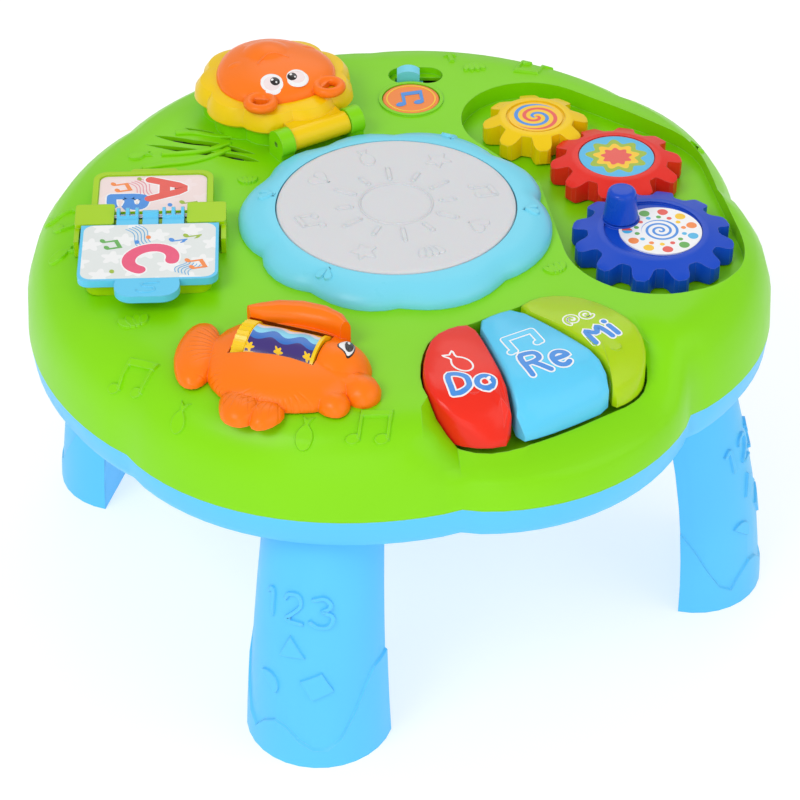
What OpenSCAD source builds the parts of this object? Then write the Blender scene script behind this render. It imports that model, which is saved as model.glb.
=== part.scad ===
// Musical activity table: four-legged play table with a drum, gear train, keys, book, lid and roller.
// Frame: +Z up, origin on the floor at the middle of the four legs, +X to the right, +Y to the back.

/* [Table] */
// Height of the flat play deck above the floor
deck_z = 198; // [190:1:210]
// Height of the deck shell's rounded shoulder above the seam
shoulder_h = 46; // [40:1:52]
// Width of the rounded shoulder round the deck
shoulder_w = 28; // [24:1:31]
// Height of the base skirt below the seam
skirt_h = 18; // [14:1:22]
// Radius of the table outline that the dips and lobes are measured from
table_r = 185; // [182:0.5:186]
// Wall of the moulded shells
wall = 2.5; // [2:0.1:3]
// How far the shoulder is scooped down in front of the keys
scoop_drop = 19; // [12:1:22]

/* [Legs] */
// Distance from the table's axis to a foot's flat inner wall
leg_r = 162; // [156:1:164]
// Half width of a foot at the floor
foot_r = 36.3; // [32:0.1:38]
// Half width of a leg at the top
leg_top_r = 29.5; // [26:0.5:31]
// How far a leg leans in at its top
leg_lean = 19; // [12:1:20]
// Angle of the first leg about the table's axis
leg_turn = -15.1; // [-20:0.1:-10]
// Thickness of the raised boot on a foot
boot_t = 1.2; // [0.8:0.1:1.6]
// Height of the boot's top edge at the leg's sides
boot_h = 52; // [40:1:60]
// Depth of the base's spigot in a leg
spigot_h = 18; // [12:1:24]

/* [Drum] */
// Middle of the drum from the table's axis
drum_pos = [-3.5, -1]; // [-6:0.5:6]
// Radius of the drum head
head_r = 61.2; // [56:0.1:63]
// Thickness of the drum head
head_t = 3; // [2:0.1:4]
// Travel of the drum head when it is struck
head_travel = 2.5; // [1.5:0.1:3]
// Width of the drum rim round the head, in its dips
rim_w = 13.3; // [12:0.1:15]
// Height of the drum rim above the deck
rim_h = 10; // [8:0.5:12]
// Radius of a drum spring
spring_r = 5; // [4:0.1:6]

/* [Gears] */
// Pitch diameter per tooth
gear_m = 6.33; // [6.2:0.01:6.4]
// Teeth on the crank gear
teeth_crank = 12; // [12:1:12]
// Teeth on the middle gear
teeth_mid = 10; // [10:1:10]
// Teeth on the small gear
teeth_small = 8; // [8:1:8]
// Middle of the crank gear
crank_pos = [126.5, -13.5]; // [-20:0.5:130]
// Height of a gear
gear_h = 13.4; // [12:0.2:14]
// Depth of the gear tray below the deck
tray_d = 10; // [9:0.5:12]
// Radius of a gear's post
post_r = 4; // [3.5:0.1:4.5]
// Radius of the crank knob at its foot
knob_r = 9; // [8:0.1:9.5]
// Height of the crank knob
knob_h = 17; // [14:0.5:24]

/* [Keys] */
// Height of the keys above the deck
key_rise = 3; // [1:0.5:5]
// Radius about the table's axis at which the keys end
key_end_r = 165; // [162:0.5:166]
// Gap between a key and its well
key_gap = 1.2; // [1:0.1:1.6]
// Radius of a key's pivot pin
key_pin_r = 1.5; // [1.2:0.1:2]

/* [Lid] */
// Middle of the face lid
lid_pos = [-69.5, 110]; // [-72:0.5:112]
// Radius of the lid's mane in its dips
mane_r = 40; // [38:0.5:41]
// Height of the mane's side
mane_h = 12; // [10:0.5:13]
// Radius of the face dome
face_r = 32; // [29:0.5:34]
// Height of the face dome
face_h = 10; // [7:0.5:12]
// Length of the lid's hinge barrel
barrel_l = 34; // [28:1:36]
// Radius of the lid's hinge barrel
barrel_r = 6.3; // [5:0.1:6.6]

/* [Book] */
// Middle of the book's hinge
book_pos = [-127.5, -10]; // [-130:0.5:0]
// Half width of the book's tray
tray_w = 31; // [28:0.5:32]
// Half width of a book page at its hinge
page_w = 34.5; // [32:0.5:35]
// Length of the page from its hinge
page_l = 58; // [50:1:60]
// Thickness of the page
page_t = 4; // [3:0.1:4.2]

/* [Fish] */
// Middle of the fish's roller
roller_pos = [-58, -118]; // [-120:0.5:-50]
// Radius of the roller
roller_r = 18; // [16:0.1:18.5]
// Length of the roller
roller_l = 41; // [36:0.5:42]
// Radius of the roller's axle
axle_r = 1.5; // [1.2:0.1:2]

/* [Switch] */
// Middle of the slide switch's recess
switch_pos = [7, 144]; // [4:0.5:146]
// Travel of the switch
switch_travel = 11; // [8:0.5:12]
// Width of the switch's knob
switch_w = 12.5; // [10:0.5:13]

/* [Batteries] */
// Radius of a battery
cell_r = 7.1; // [7:0.05:7.2]
// Length of a battery
cell_l = 50; // [49:0.5:50.5]

/* [Fits] */
// Running clearance between a shaft and its bore, on the radius
run = 0.08; // [0.05:0.01:0.1]
// Gap between neighbouring parts that don't touch
gap = 0.3; // [0.3:0.05:0.5]
// Play between meshing teeth, along the pitch circle
backlash = 0.7; // [0.5:0.05:1]

/* [Hidden] */

seam_z = deck_z - shoulder_h;
base_z = seam_z - skirt_h;
ring_n = 120;
sliver = 0.01;

// Colours
green = [0.50, 0.84, 0.04];
sky = [0.36, 0.76, 1.0];
cyan = [0.42, 0.80, 0.90];
pale = [0.82, 0.83, 0.85];
yellow = [0.98, 0.82, 0.10];
orange = [1.0, 0.48, 0.10];
lime = [0.68, 0.84, 0.02];
steel = [0.75, 0.76, 0.78];

// ---- Outlines -------------------------------------------------------------------------------

// The table's lobes: angle of a dip, its radius over table_r, and the bulge of the lobe after it
TABLE = [[-135, 3.5, 7.7], [-81, -8.5, 10.5], [-36, -10.6, 12], [12, -4, 6],
    [48, 4.5, 4.5], [96, 5.5, 4.5], [147, 1, 6.9]];
// The drum rim's lobes in the same form, over rim_r
RIM = [[11, 0.5, 5], [45, 0.5, 5], [92, 0, 3.8], [123, -1, 4.5], [153, 0, 6],
    [206, 0, 4.5], [237, 0, 5], [272, 0.5, 5.5], [315, 0, 5.5]];

// Radius at angle a of a closed outline of lobes
function lobe(a, lobes) = [for (i = [0:len(lobes) - 1])
    let (
        a0 = lobes[i][0],
        a1 = i == len(lobes) - 1 ? lobes[0][0] + 360 : lobes[i + 1][0],
        t = (a - a0) / (a1 - a0),
        r0 = lobes[i][1],
        r1 = lobes[(i + 1) % len(lobes)][1]
    )
    if (t >= 0 && t < 1) r0 + (r1 - r0) * (1 - cos(180 * t)) / 2 + lobes[i][2] * pow(sin(180 * t), 0.75)][0];

// One ring of a lobed form: the table's edge drawn in by inset, lobes fading with the inset
function table_ring(inset, z, sink = 0) = [for (k = [0:ring_n - 1])
    let (
        a = TABLE[0][0] + k * 360 / ring_n,
        fade = max(0, 1 - inset / 60),
        r = table_r + lobe(a, TABLE) * fade - inset
    ) [r * cos(a), r * sin(a), z - sink * scoop(a)]];

// The scoop in front of the keys, from 0 outside it to 1 within
function ease(t) = let (c = min(1, max(0, t))) c * c * (3 - 2 * c);
function scoop(a) = ease((a + 86) / 4) * (1 - ease((a + 45) / 10));

// Superellipse of the shoulder: how far in and how high at angle t of the profile
function shoulder_in(t, w) = w * (1 - pow(cos(t), 0.8));
function shoulder_up(t, h) = h * pow(sin(t), 0.8);

// Corner cutting rounds a hand-drawn outline
function chaikin(p, passes) = passes == 0 ? p : chaikin([for (i = [0:len(p) - 1])
    let (a = p[i], b = p[(i + 1) % len(p)])
    each [a * 0.75 + b * 0.25, a * 0.25 + b * 0.75]], passes - 1);

function sum(v, i = 0) = i == len(v) - 1 ? v[i] : v[i] + sum(v, i + 1);
function centre(p) = sum(p) / len(p);

// An outline drawn in towards its middle by a distance
function drawn_in(p, c, d) = [for (q = p) q - (q - c) * min(0.98, d / norm(q - c))];
function shrunk(p, c, s) = [for (q = p) c + (q - c) * s];
function at_z(p, z) = [for (q = p) [q[0], q[1], z]];

// ---- Solids from rings ----------------------------------------------------------------------

function ring_faces(n, m, base = 0) = [for (i = [0:m - 2], j = [0:n - 1])
    let (p = base + i * n + j, q = base + i * n + (j + 1) % n)
    each [[p, p + n, q + n], [p, q + n, q]]];
function flipped(faces) = [for (f = faces) [f[2], f[1], f[0]]];
function fan_up(n, first, mid) = [for (j = [0:n - 1]) [mid, first + (j + 1) % n, first + j]];

// A solid through rings of equal point counts, lowest ring first
module loft(rings) {
    n = len(rings[0]);
    m = len(rings);
    points = [for (r = rings) each r];
    polyhedron(
        concat(points, [centre(rings[0]), centre(rings[m - 1])]),
        concat(ring_faces(n, m), flipped(fan_up(n, 0, n * m)), fan_up(n, n * (m - 1), n * m + 1))
    );
}

// A bell: an outer and an inner loft joined along their lowest rings, open below
module bell(outer, inner) {
    n = len(outer[0]);
    mo = len(outer);
    mi = len(inner);
    points = [for (r = concat(outer, inner)) each r];
    rim = [for (j = [0:n - 1])
        let (p = j, q = (j + 1) % n)
        each [[p, q, q + n * mo], [p, q + n * mo, p + n * mo]]];
    polyhedron(
        concat(points, [centre(outer[mo - 1]), centre(inner[mi - 1])]),
        concat(
            ring_faces(n, mo),
            fan_up(n, n * (mo - 1), n * (mo + mi)),
            flipped(ring_faces(n, mi, n * mo)),
            flipped(fan_up(n, n * (mo + mi - 1), n * (mo + mi) + 1)),
            rim
        )
    );
}

// A cushion-shaped solid over an outline: upright side, then a dome
module pillow(outline, z0, side, dome, steps = 4) {
    c = centre(outline);
    loft(concat(
        [at_z(outline, z0)],
        [for (k = [0:steps])
            let (t = k * 80 / steps)
            at_z(shrunk(outline, c, cos(t)), z0 + side + dome * sin(t))]
    ));
}

// An arched band between two rows of points: upright side, then a rounded ridge
module band(outer, inner, z0, side, dome, steps = 3) {
    n = len(outer);
    outline = concat(outer, [for (i = [n - 1:-1:0]) inner[i]]);
    spine = [for (i = [0:n - 1]) (outer[i] + inner[i]) / 2];
    mids = concat(spine, [for (i = [n - 1:-1:0]) spine[i]]);
    loft(concat(
        [at_z(outline, z0)],
        [for (k = [0:steps])
            let (t = k * 78 / steps)
            at_z([for (i = [0:2 * n - 1]) mids[i] + (outline[i] - mids[i]) * cos(t)], z0 + side + dome * sin(t))]
    ));
}

// ---- Gear geometry --------------------------------------------------------------------------

press = 25;
addendum = 3.1;
dedendum = 4.8;
mesh_a = gear_m * (teeth_crank + teeth_mid) / 2;
mesh_b = gear_m * (teeth_mid + teeth_small) / 2;
// Directions from the crank gear to the middle gear and from it to the small one
dir_a = 101.7;
dir_b = 136;
mid_pos = crank_pos + mesh_a * [cos(dir_a), sin(dir_a)];
small_pos = mid_pos + mesh_b * [cos(dir_b), sin(dir_b)];
// Angle of one tooth of each gear at rest, so that they stand in mesh
phase_crank = 17;
phase_mid = dir_a + 180 + ((dir_a - phase_crank) * teeth_crank - 180) / teeth_mid;
phase_small = dir_b + 180 + ((dir_b - phase_mid) * teeth_mid - 180) / teeth_small;
tray_z = deck_z - tray_d;
gear_z = tray_z + 0.8;
gear_top = gear_z + gear_h;

function pitch_r(n) = gear_m * n / 2;
function tip_r(n) = pitch_r(n) + addendum;
function involute(a) = tan(a) * 180 / PI - a;
function flank(n, r) = let (rb = pitch_r(n) * cos(press))
    90 / n - backlash / pitch_r(n) * 45 / PI + involute(press) - (r > rb ? involute(acos(rb / r)) : 0);

// The points of one tooth, from the root on one side to the root on the other
function tooth(n, a) = let (
        r0 = pitch_r(n) - dedendum,
        radii = [r0, pitch_r(n) * cos(press) + 0.3, pitch_r(n), tip_r(n) - 1.1],
        tip = flank(n, tip_r(n)) * 0.62,
        up = [for (r = radii) [r, -flank(n, r) - (r == r0 ? 2.5 : 0)]],
        down = [for (i = [len(radii) - 1:-1:0]) [radii[i], -up[i][1]]],
        polar = concat(up, [[tip_r(n), -tip]], [[tip_r(n), tip]], down)
    )
    [for (q = polar) q[0] * [cos(a + q[1]), sin(a + q[1])]];

module gear_outline(n, phase) {
    polygon([for (k = [0:n - 1]) each tooth(n, phase + k * 360 / n)]);
}

// A gear blank whose top slopes down to the tips, with a recess for its label
module gear(n, phase, recess_r, recess_d) {
    slope = 4;
    land = recess_r + 2.2;
    difference() {
        intersection() {
            translate([0, 0, gear_z]) linear_extrude(gear_h) gear_outline(n, phase);
            rotate_extrude($fn = 96) polygon([
                [0, gear_z], [tip_r(n) - 1, gear_z], [tip_r(n) + 0.5, gear_z + 1.5],
                [tip_r(n) + 0.5, gear_top - slope - 0.8], [tip_r(n) - 1, gear_top - slope + 0.4],
                [land + 1.5, gear_top - 0.5], [land, gear_top], [0, gear_top]
            ]);
        }
        translate([0, 0, gear_top - recess_d]) cylinder(h = recess_d + 1, r = recess_r, $fn = 96);
        translate([0, 0, gear_z - 1]) cylinder(h = gear_h, r = post_r + run, $fn = 48);
        translate([0, 0, screw_seat]) cylinder(h = gear_h, r = screw_head_r + 0.6, $fn = 48);
    }
}

screw_head_r = 5.4;
screw_seat = gear_top - 4.6;
label_t = 0.8;
label_gap = 0.3;
label_sink = 1.2;
recess_crank = 25;
recess_mid = 20.3;
recess_small = 16;

module label(r) {
    translate([0, 0, gear_top - label_sink]) cylinder(h = label_t, r = r, $fn = 96);
}

// ---- Keys -----------------------------------------------------------------------------------

RED_KEY = [[14, -102], [9.5, -118], [9, -136], [13.5, -150], [24, -158.5], [38, -161.5], [51.5, -158],
    [47.5, -135], [40, -110], [33, -92.5], [24, -94]];
BLUE_KEY = [[42, -111], [49.5, -136], [54, -157], [66, -152], [80, -144], [98, -132], [96, -122],
    [87, -110], [72, -94.5], [54, -79.5], [44, -84], [35.5, -91]];
LIME_KEY = [[73.5, -93], [88.5, -108.5], [97.5, -120.5], [100, -131], [107, -126.5], [113.5, -119],
    [117, -109], [115, -97], [106, -83], [91, -71.5], [76, -68], [63, -71], [55.5, -79]];
// Everything the three keys cover, for their well
ALL_KEYS = [[24, -94], [34, -90.5], [44, -83.5], [55, -78], [63, -71], [76, -68], [91, -71.5], [106, -83],
    [115, -97], [117, -109], [113.5, -119], [107, -126.5], [98, -132.5], [80, -144.5], [66, -152.5],
    [53, -158.5], [38, -161.5], [24, -158.5], [13.5, -150], [9, -136], [9.5, -118], [14, -102]];

key_floor = deck_z - 26;
key_base = key_floor + 6;
key_top = deck_z + key_rise;
key_round = 24;
// Height of a key's top over a point of the deck: level, then bullnosed down to its outer end
function key_z(q, drop = 0) = let (
        over = max(0, norm([q[0], q[1]]) - (key_end_r - key_round)) / key_round,
        c = min(1, over)
    )
    key_top - drop - 21 * (1 - sqrt(1 - c * c * 0.98));

function over_key(p, drop) = [for (v = p) [v[0], v[1], key_z(v, drop)]];
function key_outline(k) = chaikin(KEYS[k][0], 1);

// A key's hollow shell, its edge rounded
module key_shell(k) {
    p = key_outline(k);
    c = centre(p);
    bell(
        concat(
            [at_z(p, key_base)],
            [for (step = [[0, 2.2], [0.7, 0.7], [2.2, 0]]) over_key(drawn_in(p, c, step[0]), step[1])],
            [for (s = [0.78, 0.5, 0.22]) over_key(shrunk(p, c, s), 0)]
        ),
        [
            at_z(drawn_in(p, c, wall + 0.7), key_base),
            over_key(drawn_in(p, c, wall + 0.7), wall + 2),
            over_key(shrunk(p, c, 0.6), wall + 0.4)
        ]
    );
}

// Each key turns on a pin near its inner end: [outline, pin middle, direction of the key]
KEYS = [[RED_KEY, [26.5, -104], -81], [BLUE_KEY, [50.7, -90], -56], [LIME_KEY, [75.8, -78.2], -51]];
pin_z = key_base + 5;
lug_l = 9;
rib_gap = 1;
rib_t = 3.4;
key_pin_l = lug_l + 2 * (rib_gap + rib_t) - 2;
pad_reach = 40;
pad_h = 7;

module at_key_pivot(k) {
    translate([KEYS[k][1][0], KEYS[k][1][1], pin_z]) rotate([0, 0, KEYS[k][2] + 90]) children();
}

module at_key_pad(k) {
    a = KEYS[k][2];
    translate([KEYS[k][1][0] + pad_reach * cos(a), KEYS[k][1][1] + pad_reach * sin(a), key_floor]) children();
}

// A hollow key with the two ribs its pin runs in and the stud that presses its pad
module key_with_pivot(k) {
    difference() {
        union() {
            key_shell(k);
            intersection() {
                translate([0, 0, key_base + 1]) linear_extrude(key_top - key_base - 1 - wall / 2)
                    polygon(drawn_in(key_outline(k), centre(key_outline(k)), 1.7));
                union() {
                    at_key_pivot(k) for (s = [-1, 1]) translate([s * (lug_l / 2 + rib_gap + rib_t / 2), 0, 10])
                        cube([rib_t, 9, 40], center = true);
                    at_key_pad(k) translate([0, 0, pad_h]) cylinder(h = 40, r = 3, $fn = 32);
                }
            }
        }
        at_key_pivot(k) rotate([0, 90, 0])
            cylinder(h = key_pin_l + gap, r = key_pin_r + run, center = true, $fn = 32);
    }
}

// ---- Lid ------------------------------------------------------------------------------------

lid_turn = 32;
lid_n = 9;
mane_z = deck_z + 9;
hinge_off = mane_r + 5.6;
hinge_z = deck_z + 9;

function mane_ring(inset, z, c = 1) = [for (k = [0:71])
    let (
        a = k * 5,
        r = mane_r + c * 3.4 * pow(abs(sin((a - 15) * lid_n / 2)), 0.8) - inset
    ) [r * cos(a), r * sin(a), z]];

module at_lid() {
    translate([lid_pos[0], lid_pos[1], 0]) rotate([0, 0, lid_turn]) children();
}

module hinge_rod(r, l) {
    translate([0, -hinge_off, hinge_z]) rotate([0, 90, 0]) cylinder(h = l, r = r, center = true, $fn = 48);
}

post_t = 8;
hinge_post_r = barrel_r + 1.2;

// One rounded hinge post on the deck, x0 its inner face
module hinge_post(x0) {
    r = hinge_post_r;
    translate([x0, -hinge_off, hinge_z]) rotate([0, 90, 0]) cylinder(h = post_t, r = r, $fn = 48);
    translate([x0, -hinge_off - r + 2, deck_z - wall]) cube([post_t, 2 * r - 2, hinge_z - deck_z + wall]);
}

// ---- Book -----------------------------------------------------------------------------------

book_turn = 2.5;
book_top = deck_z + 6.5;
book_axis_z = book_top + 0.5 + page_t / 2;
tray_far = 46.5;
tray_near = 55;
knuckle_w = 17;
block_y = 9;
knuckle_r = 4.8;
book_pin_r = 1.3;

module at_book() {
    translate([book_pos[0], book_pos[1], 0]) rotate([0, 0, book_turn]) children();
}

module book_rod(r, l, x = 0) {
    translate([x, 0, book_axis_z]) rotate([0, 90, 0]) cylinder(h = l, r = r, center = true, $fn = 40);
}

// A rectangle with round corners as one outline: [x0, x1, y0, y1], corner radius, steps per corner
function round_rect(b, r, s = 6) = [for (c = [[b[1] - r, b[3] - r, 0], [b[0] + r, b[3] - r, 90],
        [b[0] + r, b[2] + r, 180], [b[1] - r, b[2] + r, 270]], k = [0:s])
    [c[0] + r * cos(c[2] + k * 90 / s), c[1] + r * sin(c[2] + k * 90 / s)]];

// ---- Fish -----------------------------------------------------------------------------------

fish_turn = -19.5;
roller_z = deck_z - 3;
BODY = [[-94, -124], [-92, -138], [-84, -150], [-70, -157], [-54, -160], [-38, -159], [-25, -152],
    [-17, -141], [-15, -130], [-18, -118], [-26, -108], [-38, -99], [-54, -93], [-70, -92], [-84, -98],
    [-92, -109]];
TAIL = [[-87, -108], [-89, -98], [-93, -93], [-100, -94], [-106, -104], [-109, -118], [-108, -131],
    [-104, -140], [-98, -142], [-93, -138], [-89, -128], [-88, -118]];
FIN_ONE = [[-84, -146], [-86, -156], [-84, -166], [-77, -171], [-70, -169], [-64, -160], [-68, -150]];
FIN_TWO = [[-72, -156], [-72, -166], [-69, -173], [-62, -172], [-55, -165], [-55, -158], [-62, -152]];
CHIN = [[-42, -154], [-38, -161], [-31, -164], [-26, -161], [-24, -154], [-29, -147], [-37, -146]];
SNOUT = [[-30, -138], [-29, -149], [-24, -155], [-17, -157], [-11, -152], [-10, -144], [-15, -137], [-23, -134]];
CREST_IN = [[-73, -99.5], [-67, -101.5], [-57, -101.5], [-48, -103], [-40, -105.5], [-34, -108], [-30, -111]];
CREST_OUT = [[-75, -95], [-70, -91.5], [-60, -88.5], [-48, -89], [-36, -93.5], [-28, -101], [-25, -109]];

module at_roller() {
    translate([roller_pos[0], roller_pos[1], roller_z]) rotate([0, 0, fish_turn]) children();
}

module along_roller(r, l, x = 0) {
    translate([x, 0, 0]) rotate([0, 90, 0]) cylinder(h = l, r = r, center = true, $fn = 72);
}

roller_play = 1;
lug_t = 3;
lug_w = 12;
lug_play = 0.8;

// ---- Drum well ------------------------------------------------------------------------------

well_floor = deck_z - 12;
rim_r = head_r + rim_w;
flange_r = head_r + 4.3;
drum_well_r = flange_r + 2.5;
under_drum = well_floor + wall;
spring_at = head_r - 16;
spring_wall = 0.9;
spring_peg_h = 4;

module at_springs() {
    for (k = [0:3]) translate([drum_pos[0], drum_pos[1], under_drum]) rotate([0, 0, 45 + 90 * k])
        translate([spring_at, 0, -sliver]) children();
}

// ---- Deck features --------------------------------------------------------------------------

switch_floor = deck_z - 4;
speaker_pos = [-106, 66];
speaker_r = 22;
board_pos = [2, 126];
board_z = deck_z - 16;
board_t = 1.6;
BOARD_HOLES = [[-26, -20], [26, -20], [-26, 7], [26, 7]];
board_post_r = 3.2;
SCREWS = [[-150, -40], [-97, -116], [-3, -150], [128, -81], [145, 100], [-6, 167], [-116, 118]];
boss_r = 4;
screw_r = 1.5;
thread_play = 0.05;

// The gear tray's outline: a band round the three gears
tray_play = 5;
module tray_outline(grow) {
    a = crank_pos + [0, -5];
    b = mid_pos + [2, 0];
    c = small_pos + [-2, 4];
    ra = tip_r(teeth_crank) + tray_play + grow;
    rb = tip_r(teeth_mid) + tray_play + 6 + grow;
    rc = tip_r(teeth_small) + tray_play + 4.5 + grow;
    translate(a) circle(r = ra, $fn = 96);
    translate(b) circle(r = rb, $fn = 96);
    translate(c) circle(r = rc, $fn = 96);
    bridge(a, ra, b, rb);
    bridge(b, rb, c, rc);
}

// The tangent quadrilateral between two circles
module bridge(a, ra, b, rb) {
    d = b - a;
    turn = atan2(d[1], d[0]);
    lean = acos((ra - rb) / norm(d));
    polygon([
        a + ra * [cos(turn + lean), sin(turn + lean)],
        a + ra * [cos(turn - lean), sin(turn - lean)],
        b + rb * [cos(turn - lean), sin(turn - lean)],
        b + rb * [cos(turn + lean), sin(turn + lean)]
    ]);
}

module stadium(l, w) {
    square([l - w, w], center = true);
    for (s = [-1, 1]) translate([s * (l - w) / 2, 0]) circle(d = w, $fn = 48);
}

module keys_outline(grow) {
    p = chaikin(ALL_KEYS, 1);
    c = centre(p);
    polygon([for (q = p) q + (q - c) * grow / norm(q - c)]);
}

// A leaf-shaped slot: where two circles overlap
module leaf(l, w) {
    r = (l * l / 4 + w * w / 4) / w;
    intersection() {
        translate([0, r - w / 2]) circle(r = r, $fn = 72);
        translate([0, w / 2 - r]) circle(r = r, $fn = 72);
    }
}

// The deck's skin: outer form and its hollow
function deck_rings(inset, t_list, cut) = concat(
    [for (t = t_list)
        table_ring(inset + shoulder_in(t, shoulder_w - inset), seam_z + shoulder_up(t, shoulder_h - cut),
            scoop_drop * ease(t / 60) * (shoulder_h - cut) / shoulder_h)],
    [table_ring(shoulder_w + 16, deck_z - cut)]
);

module deck_solid() {
    loft(deck_rings(0, [0, 18, 36, 54, 72, 90], 0));
}

module deck_skin() {
    bell(deck_rings(0, [0, 18, 36, 54, 72, 90], 0), deck_rings(wall, [0, 30, 60, 90], wall));
}

GRILLE = [[-117, 76, 34, 5, -18], [-112, 66, 52, 5, -14], [-96, 70, 38, 5, -22], [-88, 60, 26, 5, -20],
    [-104, 83, 30, 4.5, -24]];

// Everything that stands on or hangs from the deck
module deck_adds() {
    intersection() {
        deck_solid();
        union() {
            translate([0, 0, tray_z - wall]) linear_extrude(tray_d + wall) tray_outline(wall);
            translate([0, 0, key_floor - wall]) linear_extrude(40) keys_outline(key_gap + wall);
            translate([drum_pos[0], drum_pos[1], well_floor])
                cylinder(h = deck_z - well_floor, r = drum_well_r + wall, $fn = 96);
            translate([switch_pos[0], switch_pos[1], switch_floor - 2])
                linear_extrude(deck_z - switch_floor + 2) stadium(30 + 2 * wall, 17 + 2 * wall);
            for (s = SCREWS) translate([s[0], s[1], seam_z + sliver]) cylinder(h = shoulder_h, r = boss_r, $fn = 32);
            for (q = BOARD_HOLES) translate([board_pos[0] + q[0], board_pos[1] + q[1], board_z + board_t])
                cylinder(h = deck_z - board_z - board_t, r = board_post_r, $fn = 32);
            translate([speaker_pos[0], speaker_pos[1], deck_z - 10]) difference() {
                cylinder(h = 10, r = speaker_r + gap + 2, $fn = 72);
                translate([0, 0, -1]) cylinder(h = 12 - wall, r = speaker_r + gap, $fn = 72);
            }
        }
    }
}

module deck_cuts() {
    translate([0, 0, tray_z]) linear_extrude(tray_d + 5) tray_outline(0);
    translate([0, 0, key_floor]) linear_extrude(40) keys_outline(key_gap);
    translate([drum_pos[0], drum_pos[1], under_drum]) cylinder(h = 30, r = drum_well_r, $fn = 96);
    translate([switch_pos[0], switch_pos[1], switch_floor]) linear_extrude(10) stadium(30, 17);
    translate([switch_pos[0] + 1.5, switch_pos[1], switch_floor - 5])
        linear_extrude(10) square([switch_w + switch_travel + 2, 8], center = true);
    for (s = SCREWS) translate([s[0], s[1], seam_z - 1]) cylinder(h = 16, r = screw_r + thread_play, $fn = 24);
    for (q = BOARD_HOLES) translate([board_pos[0] + q[0], board_pos[1] + q[1], board_z])
        cylinder(h = 9, r = screw_r + thread_play, $fn = 24);
    for (g = GRILLE) translate([g[0], g[1], deck_z - 2 * wall]) rotate([0, 0, g[4]])
        linear_extrude(4 * wall) leaf(g[2], g[3]);
    at_roller() translate([0, 0, -roller_r - 3]) linear_extrude(roller_r + 8) {
        square([roller_l + 1.6, 2 * roller_r + 1.8], center = true);
        square([roller_l + 2 * (lug_play + lug_t + 0.5), lug_w + 1], center = true);
    }
    translate([badge_pos[0], badge_pos[1], deck_z - 1]) cylinder(h = 5, r = badge_r + gap, $fn = 72);
}

badge_pos = [4.4, 118];
badge_r = 15.5;

module top_shell() {
    color(green) {
        difference() {
            union() {
                deck_skin();
                deck_adds();
            }
            deck_cuts();
        }
        gear_posts();
        lid_base();
        for (k = [0:2]) key_lug(k);
        at_springs() cylinder(h = spring_peg_h, r = spring_r - spring_wall - gap, $fn = 32);
        translate([badge_pos[0], badge_pos[1], deck_z - 0.5]) difference() {
            cylinder(h = 1.5, r = badge_r + 2.2, $fn = 72);
            translate([0, 0, -1]) cylinder(h = 4, r = badge_r + gap, $fn = 72);
        }
    }
}

module gear_posts() {
    for (p = [crank_pos, mid_pos, small_pos]) translate([p[0], p[1], tray_z]) difference() {
        union() {
            cylinder(h = screw_seat - tray_z + 0.15, r = post_r, $fn = 48);
            cylinder(h = gear_z - tray_z - 0.1, r = post_r + 3, $fn = 48);
        }
        translate([0, 0, 3]) cylinder(h = 30, r = screw_r + thread_play, $fn = 24);
    }
}

module lid_base() {
    at_lid() difference() {
        union() {
            translate([0, 0, deck_z - wall]) linear_extrude(mane_z - 0.4 - deck_z + wall)
                polygon([for (q = mane_ring(4.5, 0)) [q[0], q[1]]]);
            hinge_post(barrel_l / 2 + gap);
            hinge_post(-barrel_l / 2 - gap - post_t);
        }
        translate([0, 0, mane_z - 3.4]) cylinder(h = 10, r = 30, $fn = 72);
        hinge_rod(axle_r + run, barrel_l + 2 * (gap + post_t) + 10);
        translate([-barrel_l / 2 - gap, -hinge_off - 10, deck_z])
            cube([barrel_l + 2 * gap, 10 + barrel_r + 2.5, 40]);
    }
}

// ---- Base -----------------------------------------------------------------------------------

cell_gap = 0.4;
contact_l = 4.1;
box_x = cell_l / 2 + contact_l;
box_y = 3 * (cell_r + cell_gap) + 0.6;
door_t = 2;
door_lap = 3;
door_end = 9.5;
box_h = door_t + 2 * cell_r + 1;
door_screw_x = box_x + 5;
screw_sink = 8;

// Section of a leg at height z, its flat wall towards the table's axis
function leg_ring(z, inset = 0, square_wall = false) = let (
        w = foot_r + (leg_top_r - foot_r) * z / base_z - inset,
        x = leg_r - leg_lean * pow(z / base_z, 2),
        end = square_wall ? 90 : acos(inset / w)
    )
    [for (k = [0:16]) let (a = -end + k * end / 8) [x + w * cos(a), w * sin(a), z]];

// Heights of a leg's rings and of its hollow's, over their own heights
LEG_Z = [0, 0.16, 0.34, 0.5, 0.66, 0.82, 1];
LEG_HOLLOW = [0, 0.25, 0.5, 0.75, 1.01];
boot_low = 11;

// Height of the boot's wavy top edge at angle a round the leg
function boot_top(a) = boot_low + (boot_h - boot_low) * ease((abs(a + 12) / 90 - 0.38) / 0.55)
    + 1.2 * boot_low * max(0, cos(min(90, abs(a + 20) * 3.6)));

module boot() {
    turns = [for (k = [0:16]) -90 + k * 90 / 8];
    loft([for (s = [0, 0.34, 0.67, 1, 1.001])
        [for (k = [0:16])
            let (
                z = boot_top(turns[k]) * min(1, s) + (s > 1 ? 0.9 : 0),
                q = leg_ring(z, s > 1 ? 0 : -boot_t, true)
            ) q[k]]]);
}

// Leg number k, counted round from the right
module leg(k) {
    color(sky) rotate([0, 0, leg_turn + 90 * k]) difference() {
        union() {
            loft([for (s = LEG_Z) leg_ring(s * base_z)]);
            boot();
        }
        loft([for (s = LEG_HOLLOW) leg_ring(wall + s * (base_z - wall), wall)]);
    }
}

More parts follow.
